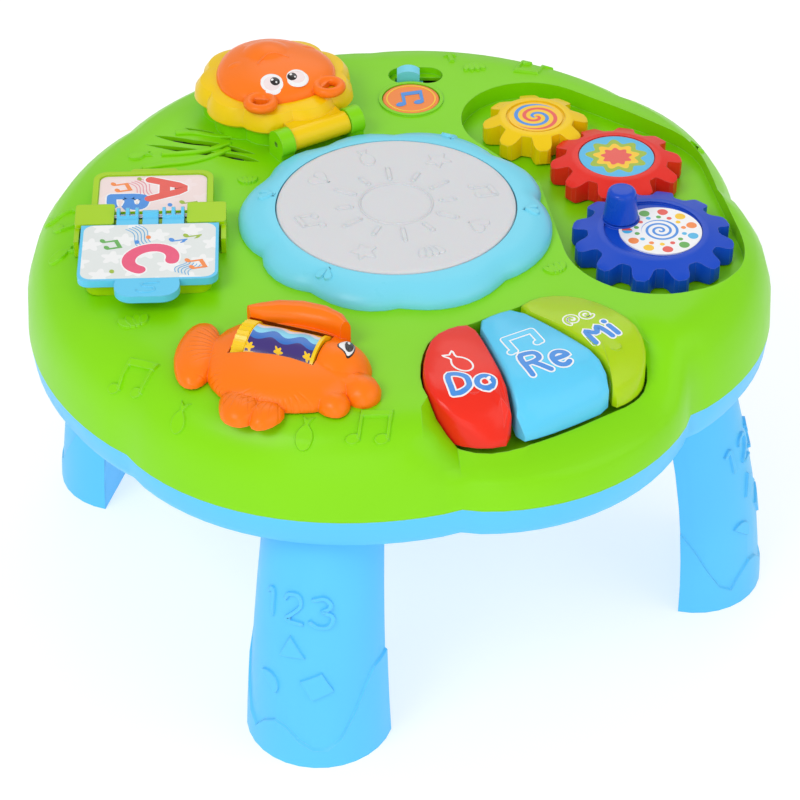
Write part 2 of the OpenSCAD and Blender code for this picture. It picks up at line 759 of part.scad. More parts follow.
module lower_shell() {
    color(sky) difference() {
        union() {
            difference() {
                loft([table_ring(7, base_z), table_ring(3.4, base_z + 1.6), table_ring(1.2, base_z + 6),
                    table_ring(0, seam_z)]);
                loft([table_ring(7 + wall, base_z + wall), table_ring(1.2 + wall, base_z + 6),
                    table_ring(wall, seam_z + 1)]);
            }
            for (s = SCREWS) translate([s[0], s[1], base_z]) cylinder(h = skirt_h, r = boss_r + 0.8, $fn = 32);
            translate([-box_x - wall, -box_y - wall, base_z])
                cube([2 * (box_x + wall), 2 * (box_y + wall), box_h + wall]);
            translate([-box_x - door_lap - wall, -box_y - wall - 1.4, base_z])
                cube([2 * box_x + door_lap + door_end + 2 * wall, 2 * (box_y + wall + 1.4), door_t + wall]);
            translate([door_screw_x, 0, base_z]) cylinder(h = 12, r = boss_r, $fn = 32);
            for (k = [0:3]) rotate([0, 0, leg_turn + 90 * k]) difference() {
                loft([for (z = [base_z - spigot_h, base_z - spigot_h / 2, base_z + 1]) leg_ring(z, wall + gap)]);
                loft([for (z = [base_z - spigot_h - 1, base_z - spigot_h / 2, base_z]) leg_ring(z, 2 * wall + gap)]);
            }
        }
        for (s = SCREWS) translate([s[0], s[1], base_z - 1]) {
            cylinder(h = skirt_h + 2, r = screw_r + 0.3, $fn = 24);
            cylinder(h = screw_sink + 1, r = screw_r + 1.9, $fn = 32);
        }
        translate([-box_x, -box_y, base_z - 1]) cube([2 * box_x, 2 * box_y, box_h + 1]);
        translate([-box_x - door_lap, -box_y - 1.4, base_z - 1])
            cube([2 * box_x + door_lap + door_end, 2 * box_y + 2.8, door_t + 1]);
        translate([door_screw_x, 0, base_z]) cylinder(h = 9, r = screw_r + thread_play, $fn = 24);
    }
}

module battery_door() {
    color(sky) difference() {
        translate([-box_x - door_lap + gap, -box_y - 1.4 + gap, base_z])
            cube([2 * box_x + door_lap + door_end - 2 * gap, 2 * box_y + 2.8 - 2 * gap, door_t]);
        translate([door_screw_x, 0, base_z - 1]) cylinder(h = 5, r = screw_r + 0.3, $fn = 24);
        translate([door_screw_x, 0, base_z - 1]) cylinder(h = 1.8, r = 3.2, $fn = 32);
        for (k = [0:4]) translate([-box_x + 4 + k * 3, -8, base_z - 1]) cube([1.4, 16, 1.5]);
    }
}

module door_screw() {
    color(steel) translate([door_screw_x, 0, base_z]) {
        cylinder(h = 0.8, r = 2.9, $fn = 32);
        cylinder(h = 8, r = screw_r, $fn = 24);
    }
}

cell_z = base_z + door_t + cell_r;

// Cell number k, every other one turned end for end, lying along +Z of the children
module at_cell(k) {
    translate([0, k * 2 * (cell_r + cell_gap), cell_z]) rotate([0, k == 0 ? 90 : -90, 0]) children();
}

module batteries() {
    color("dimgray") for (k = [-1:1]) at_cell(k) translate([0, 0, -cell_l / 2])
        rotate_extrude($fn = 48) polygon([[0, 0], [cell_r - 0.8, 0], [cell_r, 0.8], [cell_r, cell_l - 2],
            [cell_r - 1, cell_l - 1.2], [2.7, cell_l - 1.2], [2.7, cell_l], [0, cell_l]]);
}

// At each cell a button plate at its nub and a cone spring at its flat end
module battery_contacts() {
    plate_t = 0.5;
    color(steel) for (k = [-1:1]) at_cell(k) {
        translate([0, 0, cell_l / 2]) cylinder(h = contact_l, r = 3, $fn = 32);
        for (s = [-1, 1]) translate([0, 0, s * (box_x - plate_t / 2)])
            cylinder(h = plate_t, r = 6, center = true, $fn = 32);
        translate([0, 0, -cell_l / 2]) mirror([0, 0, 1]) rotate_extrude($fn = 32)
            polygon([[1.6, 0], [2.4, 0], [5, contact_l], [4.2, contact_l]]);
    }
}

module shell_screws() {
    color(steel) for (s = SCREWS) translate([s[0], s[1], base_z + screw_sink - 2.2]) {
        cylinder(h = 2.2, r = screw_r + 1.5, $fn = 32);
        cylinder(h = skirt_h - screw_sink + 14, r = screw_r, $fn = 24);
    }
}

// ---- Drum -----------------------------------------------------------------------------------

head_top = deck_z + rim_h + 0.8;
flange_t = 2;
lip_z = deck_z + 3;

function rim_ring(inset, z, round = 0) = [for (k = [0:71])
    let (
        a = RIM[0][0] + k * 5,
        r = (1 - round) * (rim_r + lobe(a, RIM) - inset) + round * (head_r + 2)
    ) [drum_pos[0] + r * cos(a), drum_pos[1] + r * sin(a), z]];

module drum_rim() {
    color(cyan) difference() {
        loft([rim_ring(0, deck_z), rim_ring(0, deck_z + 2.6), rim_ring(1.4, deck_z + 4.8),
            rim_ring(5, deck_z + 0.8 * rim_h), rim_ring(0, deck_z + rim_h - 0.3, 0.75), rim_ring(0, deck_z + rim_h, 1)]);
        translate([drum_pos[0], drum_pos[1], deck_z - 1]) {
            cylinder(h = rim_h + 3, r = head_r + gap, $fn = 96);
            cylinder(h = lip_z - deck_z + 1, r = flange_r + 1, $fn = 96);
        }
    }
}

plunger_z = under_drum + 6 + head_travel + 0.2;

module drum_head() {
    color(pale) translate([drum_pos[0], drum_pos[1], 0]) {
        rotate_extrude($fn = 120) polygon([
            [0, head_top], [head_r - 2, head_top], [head_r - 0.6, head_top - 0.6], [head_r, head_top - 2],
            [head_r, lip_z - gap], [flange_r, lip_z - gap], [flange_r, lip_z - gap - flange_t],
            [head_r - 2.5, lip_z - gap - flange_t], [head_r - 2.5, head_top - head_t], [0, head_top - head_t]
        ]);
        translate([0, 0, plunger_z]) cylinder(h = head_top - head_t - plunger_z + 1, r = 5, $fn = 40);
    }
}

module drum_springs() {
    color(steel) at_springs() translate([0, 0, sliver]) difference() {
        cylinder(h = head_top - head_t - under_drum, r = spring_r, $fn = 32);
        translate([0, 0, -1]) cylinder(h = 30, r = spring_r - spring_wall, $fn = 32);
    }
}

module drum_switch() {
    color("dimgray") translate([drum_pos[0], drum_pos[1], under_drum]) rotate_extrude($fn = 48)
        polygon([[0, 0], [8, 0], [8, 1.2], [5, 2], [4, 6], [0, 6]]);
}

// ---- Gear train -----------------------------------------------------------------------------

knob_off = [-16, 10];
crank_pin_r = 2;
pad_r = knob_r + 0.6;
label_blue_off = [3.5, -1.2];

module gear_blue() {
    color("royalblue") translate([crank_pos[0], crank_pos[1], 0]) difference() {
        union() {
            gear(teeth_crank, phase_crank, recess_crank, label_sink);
            translate([knob_off[0], knob_off[1], gear_top - 3]) cylinder(h = 3, r = pad_r, $fn = 64);
        }
        translate([knob_off[0], knob_off[1], gear_z + 2]) cylinder(h = 30, r = crank_pin_r + thread_play, $fn = 32);
    }
}

module gear_red() {
    color("red") translate([mid_pos[0], mid_pos[1], 0]) gear(teeth_mid, phase_mid, recess_mid, label_sink);
}

module gear_yellow() {
    color(yellow) translate([small_pos[0], small_pos[1], 0]) gear(teeth_small, phase_small, recess_small, label_sink);
}

module gear_screws() {
    color(steel) for (p = [crank_pos, mid_pos, small_pos]) translate([p[0], p[1], screw_seat + 0.15]) {
        cylinder(h = 2.2, r = screw_head_r, $fn = 40);
        translate([0, 0, -6]) cylinder(h = 7, r = screw_r, $fn = 24);
    }
}

module label_blue() {
    color("white") translate([crank_pos[0], crank_pos[1], 0]) difference() {
        translate([label_blue_off[0], label_blue_off[1], 0]) label(recess_crank - 4);
        translate([knob_off[0], knob_off[1], gear_z]) cylinder(h = 40, r = pad_r + label_gap, $fn = 64);
    }
}

module label_red() {
    color("deepskyblue") translate([mid_pos[0], mid_pos[1], 0]) label(recess_mid - 2 * label_gap);
}

module label_yellow() {
    color("tomato") translate([small_pos[0], small_pos[1], 0]) label(recess_small - 5 * label_gap);
}

module at_knob(z) {
    translate([crank_pos[0] + knob_off[0], crank_pos[1] + knob_off[1], z]) children();
}

module crank_knob() {
    color("royalblue") at_knob(gear_top + gap) difference() {
        rotate_extrude($fn = 64) polygon(concat(
            [[0, 0], [knob_r - 0.4, 0], [knob_r, 0.5]],
            [for (k = [0:4]) [knob_r - 4.4 + 2.8 * cos(k * 22.5), knob_h - 2.8 + 2.8 * sin(k * 22.5)]],
            [[0, knob_h]]
        ));
        translate([0, 0, -1]) cylinder(h = knob_h - 3, r = crank_pin_r + run, $fn = 32);
    }
}

module crank_pin() {
    color(steel) at_knob(gear_z + 2) cylinder(h = gear_top - gear_z + knob_h - 6.5, r = crank_pin_r, $fn = 32);
}

// ---- Keys -----------------------------------------------------------------------------------

// The lug on the well's floor that holds a key's pin
module key_lug(k) {
    at_key_pivot(k) difference() {
        union() {
            translate([-lug_l / 2, -3, key_floor - pin_z - wall]) cube([lug_l, 6, pin_z - key_floor + wall]);
            rotate([0, 90, 0]) cylinder(h = lug_l, r = 3, center = true, $fn = 32);
        }
        rotate([0, 90, 0]) cylinder(h = lug_l + 1, r = key_pin_r + run, center = true, $fn = 32);
    }
}

module key_red() { color("red") key_with_pivot(0); }
module key_blue() { color(cyan) key_with_pivot(1); }
module key_lime() { color([0.72, 0.80, 0.15]) key_with_pivot(2); }

module key_pins() {
    color(steel) for (k = [0:2]) at_key_pivot(k) rotate([0, 90, 0])
        cylinder(h = key_pin_l, r = key_pin_r, center = true, $fn = 32);
}

module key_pad(k) {
    color("dimgray") at_key_pad(k)
        rotate_extrude($fn = 40) polygon([[0, 0], [6, 0], [6, 0.8], [3.6, 1.4], [3, pad_h], [0, pad_h]]);
}

// ---- Lid ------------------------------------------------------------------------------------

face_turn = -7;
mane_top = mane_z + mane_h;

module lid_mane() {
    color(yellow) at_lid() difference() {
        union() {
            bell(
                [mane_ring(1.4, mane_z), mane_ring(0, mane_z + 1.6), mane_ring(0.8, mane_z + 0.55 * mane_h),
                    mane_ring(3.6, mane_z + 0.88 * mane_h), mane_ring(8, mane_top)],
                [mane_ring(1.4 + wall, mane_z), mane_ring(1 + wall, mane_z + 0.5 * mane_h),
                    mane_ring(8 + wall, mane_top - wall, 0.5)]
            );
            hinge_rod(barrel_r, barrel_l);
            translate([-barrel_l / 2 + 1, -hinge_off, hinge_z + 0.6]) cube([barrel_l - 2, hinge_off - mane_r + 4, 5.4]);
        }
        hinge_rod(axle_r + run, barrel_l + 2);
        for (s = [-1, 1]) translate([s * (barrel_l + 2 * gap + post_t) / 2, 0, 0])
            hinge_rod(hinge_post_r + 2 * gap, post_t + 2 * gap);
    }
}

module at_face() {
    at_lid() rotate([0, 0, face_turn]) children();
}

ear_pos = [19.6, -28.6];
ear_r = 6.6;
ear_t = 2.6;
muzzle_y = 9;
muzzle_r = 22;
muzzle_rise = 2.5;

module lid_face() {
    outline = [for (k = [0:47]) let (a = k * 7.5, r = face_r + 1.2 * cos(3 * a + 90)) r * [cos(a), sin(a)]];
    color(orange) at_face() {
        pillow(outline, mane_top, 1.2, face_h - 1.2, 5);
        translate([0, muzzle_y, mane_top + face_h + muzzle_rise - muzzle_r]) intersection() {
            sphere(r = muzzle_r, $fn = 72);
            translate([0, 0, muzzle_r - face_h]) cylinder(h = muzzle_r, r = 16, $fn = 72);
        }
        for (s = [-1, 1]) translate([s * ear_pos[0], ear_pos[1], mane_top + ear_t]) {
            rotate_extrude($fn = 48) translate([ear_r, 0]) circle(r = ear_t, $fn = 24);
            rotate([0, 0, s > 0 ? 125 : 55]) translate([2, -ear_r, -ear_t]) cube([7, 2 * ear_r, ear_t * 1.4]);
        }
    }
}

module lid_pin() {
    color(steel) at_lid() hinge_rod(axle_r, barrel_l + 2 * gap + 2 * post_t);
}

// ---- Book -----------------------------------------------------------------------------------

block_x = knuckle_w + 1.3;
block_out = 38;
block_top = book_axis_z + page_t / 2 + 0.3;

module book_tray() {
    color(lime) at_book() difference() {
        union() {
            translate([0, 0, deck_z]) linear_extrude(book_top - deck_z)
                polygon(round_rect([-tray_w, tray_w, -tray_near, tray_far], 7));
            translate([0, 0, deck_z]) linear_extrude(book_top - deck_z - 1.8)
                polygon(round_rect([-12, 12, tray_far - 8, tray_far + 5], 2));
            for (s = [-1, 1]) {
                translate([0, 0, deck_z]) linear_extrude(block_top - deck_z) polygon(round_rect(
                    [min(s * block_x, s * block_out), max(s * block_x, s * block_out), -block_y, block_y], 1.6, 3));
                translate([s > 0 ? page_w + 1 : -block_out, -block_y - 12, deck_z])
                    cube([block_out - page_w - 1, 14, book_top - deck_z + 2.5]);
            }
        }
        translate([0, 0, book_top - 1]) linear_extrude(5)
            polygon(round_rect([-tray_w + 3, tray_w - 3, block_y + 1, tray_far - 3], 5));
        translate([-block_x, -block_y - 1, book_axis_z - knuckle_r - 0.8]) cube([2 * block_x, 2 * block_y + 2, 20]);
        book_rod(book_pin_r + run, 2 * (block_x + 12));
    }
}

module book_page() {
    z0 = book_axis_z - page_t / 2;
    y0 = -block_y - 0.6;
    color(cyan) at_book() difference() {
        union() {
            translate([0, 0, z0]) linear_extrude(page_t) {
                polygon(concat([[page_w, y0], [-page_w, y0]],
                    [for (k = [0:6]) [-page_w + 8 + 6 * cos(180 + k * 15) - 2, -page_l + 6 + 6 * sin(180 + k * 15)]],
                    [for (k = [0:6]) [page_w - 8 + 6 * cos(270 + k * 15) + 2, -page_l + 6 + 6 * sin(270 + k * 15)]]));
                polygon(round_rect([-16, 16, -page_l - 14, -page_l + 6], 9));
            }
            for (s = [-1, 1]) {
                book_rod(knuckle_r, 11, s * (knuckle_w - 5.5));
                translate([s * (knuckle_w - 5.5) - 5.5, y0 - 1, z0]) cube([11, -y0 + 1, page_t]);
            }
            book_rod(3.4, 8);
            translate([-4, y0 - 1, z0]) cube([8, -y0 + 1, page_t - 0.6]);
        }
        for (s = [-1, 1], t = [-1, 1])
            translate([s * (knuckle_w - 5.5) + t * 2.4 - 1.5, -3.4, z0 + 0.8]) cube([3, 9, 20]);
        book_rod(book_pin_r + run, 4 * knuckle_w);
        translate([0, 0, z0 + page_t - 0.7]) linear_extrude(5)
            polygon(round_rect([-page_w + 5, page_w - 5, -page_l + 3, y0 - 2.4], 4));
    }
}

module book_pin() {
    color(steel) at_book() book_rod(book_pin_r, 2 * (block_x + 11));
}

// ---- Fish -----------------------------------------------------------------------------------

module fish_body() {
    color(orange) difference() {
        union() {
            pillow(chaikin(BODY, 1), deck_z, 3, 9);
            translate([-32, -128, deck_z - 3]) intersection() {
                sphere(r = 17.5, $fn = 72);
                translate([-20, -20, 3]) cube(40);
            }
            pillow(chaikin(TAIL, 1), deck_z, 3, 5, 3);
            pillow(chaikin(FIN_ONE, 1), deck_z, 2.4, 5, 2);
            pillow(chaikin(FIN_TWO, 1), deck_z, 2, 4.4, 2);
            pillow(chaikin(CHIN, 1), deck_z, 2.6, 5, 2);
            pillow(chaikin(SNOUT, 1), deck_z, 3, 6.5, 2);
            band(CREST_IN, CREST_OUT, deck_z, 11.5, 5);
            at_roller() for (s = [-1, 1]) translate([s * (roller_l / 2 + lug_play + lug_t / 2), 0, 1])
                cube([lug_t, lug_w, 2 * (deck_z - roller_z) + 6], center = true);
        }
        at_roller() {
            along_roller(roller_r + roller_play, roller_l + 2 * lug_play);
            along_roller(axle_r + run, 2 * roller_l, 0);
        }
    }
}

module fish_roller() {
    rib_l = 6;
    ribs = 36;
    color(yellow) at_roller() rotate([0, 90, 0]) translate([0, 0, -roller_l / 2]) difference() {
        union() {
            linear_extrude(rib_l) polygon([for (k = [0:2 * ribs - 1])
                (roller_r - (k % 2 == 0 ? 0 : 0.7)) * [cos(k * 180 / ribs), sin(k * 180 / ribs)]]);
            cylinder(h = roller_l, r = roller_r - 0.9, $fn = 96);
            translate([0, 0, roller_l - 1.6]) cylinder(h = 1.6, r = roller_r - 0.1, $fn = 96);
        }
        translate([0, 0, 3]) difference() {
            cylinder(h = roller_l, r = roller_r - 3, $fn = 72);
            cylinder(h = roller_l - 3, r = 4.5, $fn = 40);
        }
        translate([0, 0, -1]) cylinder(h = roller_l + 2, r = axle_r + run, $fn = 32);
    }
}

module roller_axle() {
    color(steel) at_roller() along_roller(axle_r, roller_l + 2 * (lug_play + lug_t));
}

// ---- Switch, badge and electronics ----------------------------------------------------------

knob_x = switch_pos[0] + 1.5 - switch_travel / 2;
plate_z = switch_floor - 4.2;
peg_w = 4;
peg_z = board_z + board_t + 2 * gap + 1.4;

module switch_slider() {
    color(cyan) translate([knob_x, switch_pos[1], 0]) {
        translate([-switch_w / 2, -3.7, switch_floor - 3]) cube([switch_w, 7.4, 5]);
        translate([0, 3.7, switch_floor + 2 - sliver]) rotate([90, 0, 0]) linear_extrude(7.4) intersection() {
            translate([-switch_w / 2, 0]) square([switch_w, 8]);
            translate([0, -3]) circle(r = 9.5, $fn = 64);
        }
        translate([-switch_w / 2 - 2, -5.5, plate_z]) cube([switch_w + 4, 11, switch_floor - 2 - gap - plate_z]);
        translate([-peg_w / 2, -peg_w / 2, peg_z]) cube([peg_w, peg_w, plate_z - peg_z + sliver]);
    }
}

module slide_switch() {
    color("dimgray") difference() {
        translate([knob_x + switch_travel / 2, switch_pos[1], (peg_z - 2 * gap + plate_z - 1) / 2])
            cube([28, 9, plate_z - peg_z - 1 + 2 * gap], center = true);
        translate([knob_x - peg_w / 2 - gap, switch_pos[1] - peg_w / 2 - gap, peg_z - gap])
            cube([peg_w + switch_travel + 2 * gap, peg_w + 2 * gap, 20]);
    }
}

module badge() {
    color(orange) translate([badge_pos[0], badge_pos[1], deck_z - 1]) rotate_extrude($fn = 72)
        polygon([[0, 0], [badge_r, 0], [badge_r, 1.2], [badge_r - 0.6, 1.6], [0, 1.6]]);
}

module circuit_board() {
    color("seagreen") translate([board_pos[0], board_pos[1], board_z]) difference() {
        union() {
            translate([-31, -25, 0]) cube([62, 50, board_t]);
            translate([-18, -14, board_t - sliver]) cube([14, 10, 2]);
            translate([4, -16, board_t - sliver]) cube([8, 6, 1.6]);
            for (k = [-1:1]) translate([6 * k, 2, board_t - sliver]) cylinder(h = 6, r = 2, $fn = 24);
        }
        for (q = BOARD_HOLES) translate([q[0], q[1], -1]) cylinder(h = 4, r = screw_r + gap, $fn = 24);
    }
}

module board_screws() {
    head = 1.6;
    color(steel) for (q = BOARD_HOLES) translate([board_pos[0] + q[0], board_pos[1] + q[1], board_z - head]) {
        cylinder(h = head, r = 2.7, $fn = 32);
        cylinder(h = 8, r = screw_r, $fn = 24);
    }
}

module speaker() {
    color("dimgray") translate([speaker_pos[0], speaker_pos[1], deck_z - wall]) mirror([0, 0, 1])
        rotate_extrude($fn = 72) polygon([
            [0, 3], [8, 3], [17, 1.2], [17, 0], [speaker_r, 0], [speaker_r, 1.6], [18, 3.4], [12, 9], [12, 15], [0, 15]
        ]);
}

top_shell();
lower_shell();
leg(3);  // leg_front
leg(0);  // leg_right
leg(1);  // leg_back
leg(2);  // leg_left
drum_rim();
drum_head();
drum_springs();
drum_switch();
gear_blue();
gear_red();
gear_yellow();
gear_screws();
label_blue();
label_red();
label_yellow();
crank_knob();
crank_pin();
key_red();
key_blue();
key_lime();
key_pins();
key_pad(0);  // key_pad_red
key_pad(1);  // key_pad_blue
key_pad(2);  // key_pad_lime
lid_mane();
lid_face();
lid_pin();
book_tray();
book_page();
book_pin();
fish_body();
fish_roller();
roller_axle();
switch_slider();
slide_switch();
badge();
circuit_board();
board_screws();
speaker();
batteries();
battery_contacts();
battery_door();
door_screw();
shell_screws();
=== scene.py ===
"""Looks of the musical activity table: finishes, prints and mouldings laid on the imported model."""

import logging
import math
from dataclasses import dataclass
from enum import Enum

import bpy
from mathutils import Matrix, Vector


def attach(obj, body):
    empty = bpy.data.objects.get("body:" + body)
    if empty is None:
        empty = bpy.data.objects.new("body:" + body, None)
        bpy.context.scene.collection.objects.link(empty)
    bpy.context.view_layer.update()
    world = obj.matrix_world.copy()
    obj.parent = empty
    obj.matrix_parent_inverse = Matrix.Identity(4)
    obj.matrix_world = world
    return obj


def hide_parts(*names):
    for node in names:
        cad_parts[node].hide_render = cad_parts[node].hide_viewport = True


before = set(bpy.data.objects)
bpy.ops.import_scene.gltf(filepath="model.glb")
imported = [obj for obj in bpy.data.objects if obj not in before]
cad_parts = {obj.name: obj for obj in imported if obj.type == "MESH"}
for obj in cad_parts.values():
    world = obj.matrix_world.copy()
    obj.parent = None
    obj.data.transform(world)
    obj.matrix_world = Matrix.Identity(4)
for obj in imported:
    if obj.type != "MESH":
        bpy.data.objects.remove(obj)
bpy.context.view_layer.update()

MM = 0.001
LIFT = 8.0
MERGE = 0.00001
MIX_INPUTS = (0, 6, 7)
MIX_OUTPUT = 2
SHARP_AT = 0.93
SHARP_SOFT = 0.06
FILM = 0.1
SLOPE = 0.4
LEVELS = 12
MOULDED_STEP = 0.02
PRINT_STEP = 0.008
PRINT_SOFT = 0.15
Point = tuple[float, float]
Outline = list[Point]
Object = bpy.types.Object
Socket = bpy.types.NodeSocket
log = logging.getLogger("activity_table")


class Tint(Enum):
    """Colours of the table's plastics and inks, as red, green and blue in hexadecimal."""

    LEAF = "84d800"
    SKY = "5cc6fb"
    RIM = "78d8f0"
    PEARL = "d6d7da"
    SUN = "f4cc04"
    CHERRY = "e8281a"
    ROYAL = "0a48c4"
    KEY_RED = "ec2a14"
    KEY_CYAN = "5eccf4"
    KEY_LIME = "acd206"
    BOOK = "a6d200"
    PAGE = "60c8f0"
    CARP = "ff7a06"
    FACE = "ff7a14"
    AMBER = "f8c818"
    WHITE = "f4f4f4"
    BLUSH = "f3e2e2"
    INK = "231c1c"
    PRINT_BLUE = "3f8ee0"
    PRINT_RED = "e8564a"
    PRINT_PINK = "ea4f78"
    PRINT_GREEN = "5fae4c"
    PRINT_OLIVE = "9dbb2d"
    PRINT_ORANGE = "f58a3c"
    PAPER_GREY = "dfe4e2"
    PAPER_PINK = "f0dcda"
    STAFF_PINK = "e58ea0"
    STAFF_BLUE = "58a9dd"
    PLUM = "3c2a78"
    DEEP = "2f6fc4"
    LAGOON = "7fd0ec"
    SEA_WHITE = "d6dde8"
    SKY_PRINT = "4db8e6"
    GRAPHITE = "26272a"
    MASK = "1d6b3c"
    STEEL = "c2c4c8"


class Motif(Enum):
    """The small common motifs that are raised or printed."""

    NOTE = "note"
    QUAVER = "quaver"
    FISH = "fish"
    SHELL = "shell"
    ARROW = "arrow"
    HEART = "heart"
    STAR = "star"
    DOT = "dot"
    SWIRL = "swirl"


def paint(tint: Tint, level: float = 1.0) -> tuple[float, float, float, float]:
    """Turns a tint into the linear colour that a shader takes.

    Args:
        tint: The named colour.
        level: A factor on its lightness.

    Returns:
        Red, green, blue and an alpha of one.
    """
    parts = [int(tint.value[i:i + 2], 16) / 255 for i in (0, 2, 4)]
    linear = [p / 12.92 if p <= 0.04045 else ((p + 0.055) / 1.055) ** 2.4 for p in parts]
    return (*[min(1.0, v * level) for v in linear], 1.0)


# Node sheets and finishes


class NodeSheet:
    """The node tree of one material, built round a principled shader."""

    def __init__(self, name: str) -> None:
        """Starts an empty tree.

        Args:
            name: The material's name.
        """
        self.material = bpy.data.materials.new(name)
        self.material.use_nodes = True
        self.tree = self.material.node_tree
        self.tree.nodes.clear()
        self.shader = self.node("ShaderNodeBsdfPrincipled")
        output = self.node("ShaderNodeOutputMaterial")
        self.tree.links.new(self.shader.outputs[0], output.inputs["Surface"])

    def node(self, kind: str, **settings: object) -> bpy.types.Node:
        """Adds a node.

        Args:
            kind: The node's type.
            **settings: Attributes to set on it.

        Returns:
            The node.
        """
        made = self.tree.nodes.new(kind)
        for name, value in settings.items():
            setattr(made, name, value)
        return made

    def feed(self, socket: Socket, value: object) -> None:
        """Links a socket, or sets its constant.

        Args:
            socket: The input.
            value: Another node's output, or a number, vector or colour.
        """
        if isinstance(value, bpy.types.NodeSocket):
            self.tree.links.new(value, socket)
        else:
            socket.default_value = value

    def surface(self, colour: object, rough: object, normal: Socket) -> None:
        """Links the shader's colour, roughness and normal.

        Args:
            colour: The base colour.
            rough: The roughness.
            normal: The normal.
        """
        for label, value in (("Base Color", colour), ("Roughness", rough), ("Normal", normal)):
            self.feed(self.shader.inputs[label], value)

    def constants(self, **values: float) -> None:
        """Sets numbers on the shader's own sockets.

        Args:
            **values: Socket names in lower case with underscores, and their values.
        """
        for name, value in values.items():
            label = name.replace("_", " ").title().replace("Ior", "IOR")
            self.shader.inputs[label].default_value = value

    def place(self, centre: Vector = Vector(), turn: float = 0.0) -> Socket:
        """Gives object coordinates in millimetres, centred and turned about +Z.

        Args:
            centre: The pattern's middle in millimetres.
            turn: Its direction in degrees.

        Returns:
            The vector output.
        """
        coords = self.node("ShaderNodeTexCoord")
        mapping = self.node("ShaderNodeMapping", vector_type="TEXTURE")
        self.feed(mapping.inputs["Vector"], coords.outputs["Object"])
        mapping.inputs["Location"].default_value = Vector(centre) * MM
        mapping.inputs["Rotation"].default_value = (0, 0, math.radians(turn))
        mapping.inputs["Scale"].default_value = (MM, MM, MM)
        return mapping.outputs["Vector"]

    def split(self, vector: Socket) -> tuple[Socket, Socket, Socket]:
        """Takes a vector apart.

        Args:
            vector: The vector.

        Returns:
            Its three components.
        """
        parts = self.node("ShaderNodeSeparateXYZ")
        self.feed(parts.inputs[0], vector)
        return parts.outputs[0], parts.outputs[1], parts.outputs[2]

    def noise(self, where: Socket, size: float, detail: float = 2.0, rough: float = 0.5) -> Socket:
        """Adds a soft noise.

        Args:
            where: Coordinates in millimetres.
            size: The size of its clouds in millimetres.
            detail: How many finer layers it has.
            rough: How strong those layers are.

        Returns:
            The noise's value.
        """
        made = self.node("ShaderNodeTexNoise")
        self.feed(made.inputs["Vector"], where)
        self.feed(made.inputs["Scale"], 1.0 / size)
        self.feed(made.inputs["Detail"], detail)
        self.feed(made.inputs["Roughness"], rough)
        return made.outputs["Fac"]

    def math(self, operation: str, a: object, b: object = 0.0, clamp: bool = False) -> Socket:
        """Adds a calculation.

        Args:
            operation: Blender's name for it.
            a: The first value.
            b: The second value.
            clamp: Whether the result stays within zero and one.

        Returns:
            The result.
        """
        made = self.node("ShaderNodeMath", operation=operation, use_clamp=clamp)
        self.feed(made.inputs[0], a)
        self.feed(made.inputs[1], b)
        return made.outputs[0]

    def times(self, a: object, b: object) -> Socket:
        """Multiplies two values."""
        return self.math("MULTIPLY", a, b)

    def plus(self, a: object, b: object) -> Socket:
        """Adds two values."""
        return self.math("ADD", a, b)

    def less(self, a: object, b: object) -> Socket:
        """Takes the second value from the first."""
        return self.math("SUBTRACT", a, b)

    def share(self, a: object, b: object) -> Socket:
        """Divides the first value by the second."""
        return self.math("DIVIDE", a, b)

    def within(self, value: object, low: float, high: float, soft: float) -> Socket:
        """Gives one between two values, with soft ends, and zero beyond them."""
        return self.times(self.edge(value, low, soft), self.edge(value, high, -soft))

    def edge(self, value: object, at: float, soft: float) -> Socket:
        """Steps smoothly from zero to one.

        Args:
            value: What is compared.
            at: Where the step stands.
            soft: Half its width, negative for a falling step.

        Returns:
            The step's value.
        """
        made = self.node("ShaderNodeMapRange", interpolation_type="SMOOTHSTEP")
        self.feed(made.inputs["Value"], value)
        self.feed(made.inputs["From Min"], at - abs(soft))
        self.feed(made.inputs["From Max"], at + abs(soft))
        self.feed(made.inputs["To Min"], 1.0 if soft < 0 else 0.0)
        self.feed(made.inputs["To Max"], 0.0 if soft < 0 else 1.0)
        return made.outputs["Result"]

    def mix(self, factor: object, low: object, high: object) -> Socket:
        """Mixes two colours.

        Args:
            factor: How much of the second.
            low: The first colour.
            high: The second colour.

        Returns:
            The mixed colour.
        """
        made = self.node("ShaderNodeMix", data_type="RGBA")
        for at, value in zip(MIX_INPUTS, (factor, low, high)):
            self.feed(made.inputs[at], value)
        return made.outputs[MIX_OUTPUT]

    def bands(self, value: Socket, stops: tuple[tuple[float, Tint], ...]) -> Socket:
        """Colours a value by bands with sharp edges.

        Args:
            value: A value from zero to one.
            stops: Where each band begins, and its colour.

        Returns:
            The colour.
        """
        made = self.node("ShaderNodeValToRGB")
        ramp = made.color_ramp
        ramp.interpolation = "CONSTANT"
        while len(ramp.elements) < len(stops):
            ramp.elements.new(0.5)
        for element, (at, tint) in zip(ramp.elements, stops):
            element.position = at
            element.color = paint(tint)
        self.feed(made.inputs[0], value)
        return made.outputs[0]

    def polar(self, x: Socket, y: Socket) -> tuple[Socket, Socket]:
        """Turns two coordinates into a radius and a share of a full turn.

        Args:
            x: The first coordinate.
            y: The second coordinate.

        Returns:
            The radius, and the angle from minus a half to a half.
        """
        square = self.plus(self.times(x, x), self.times(y, y))
        angle = self.share(self.math("ARCTAN2", y, x), math.tau)
        return self.math("SQRT", square), angle

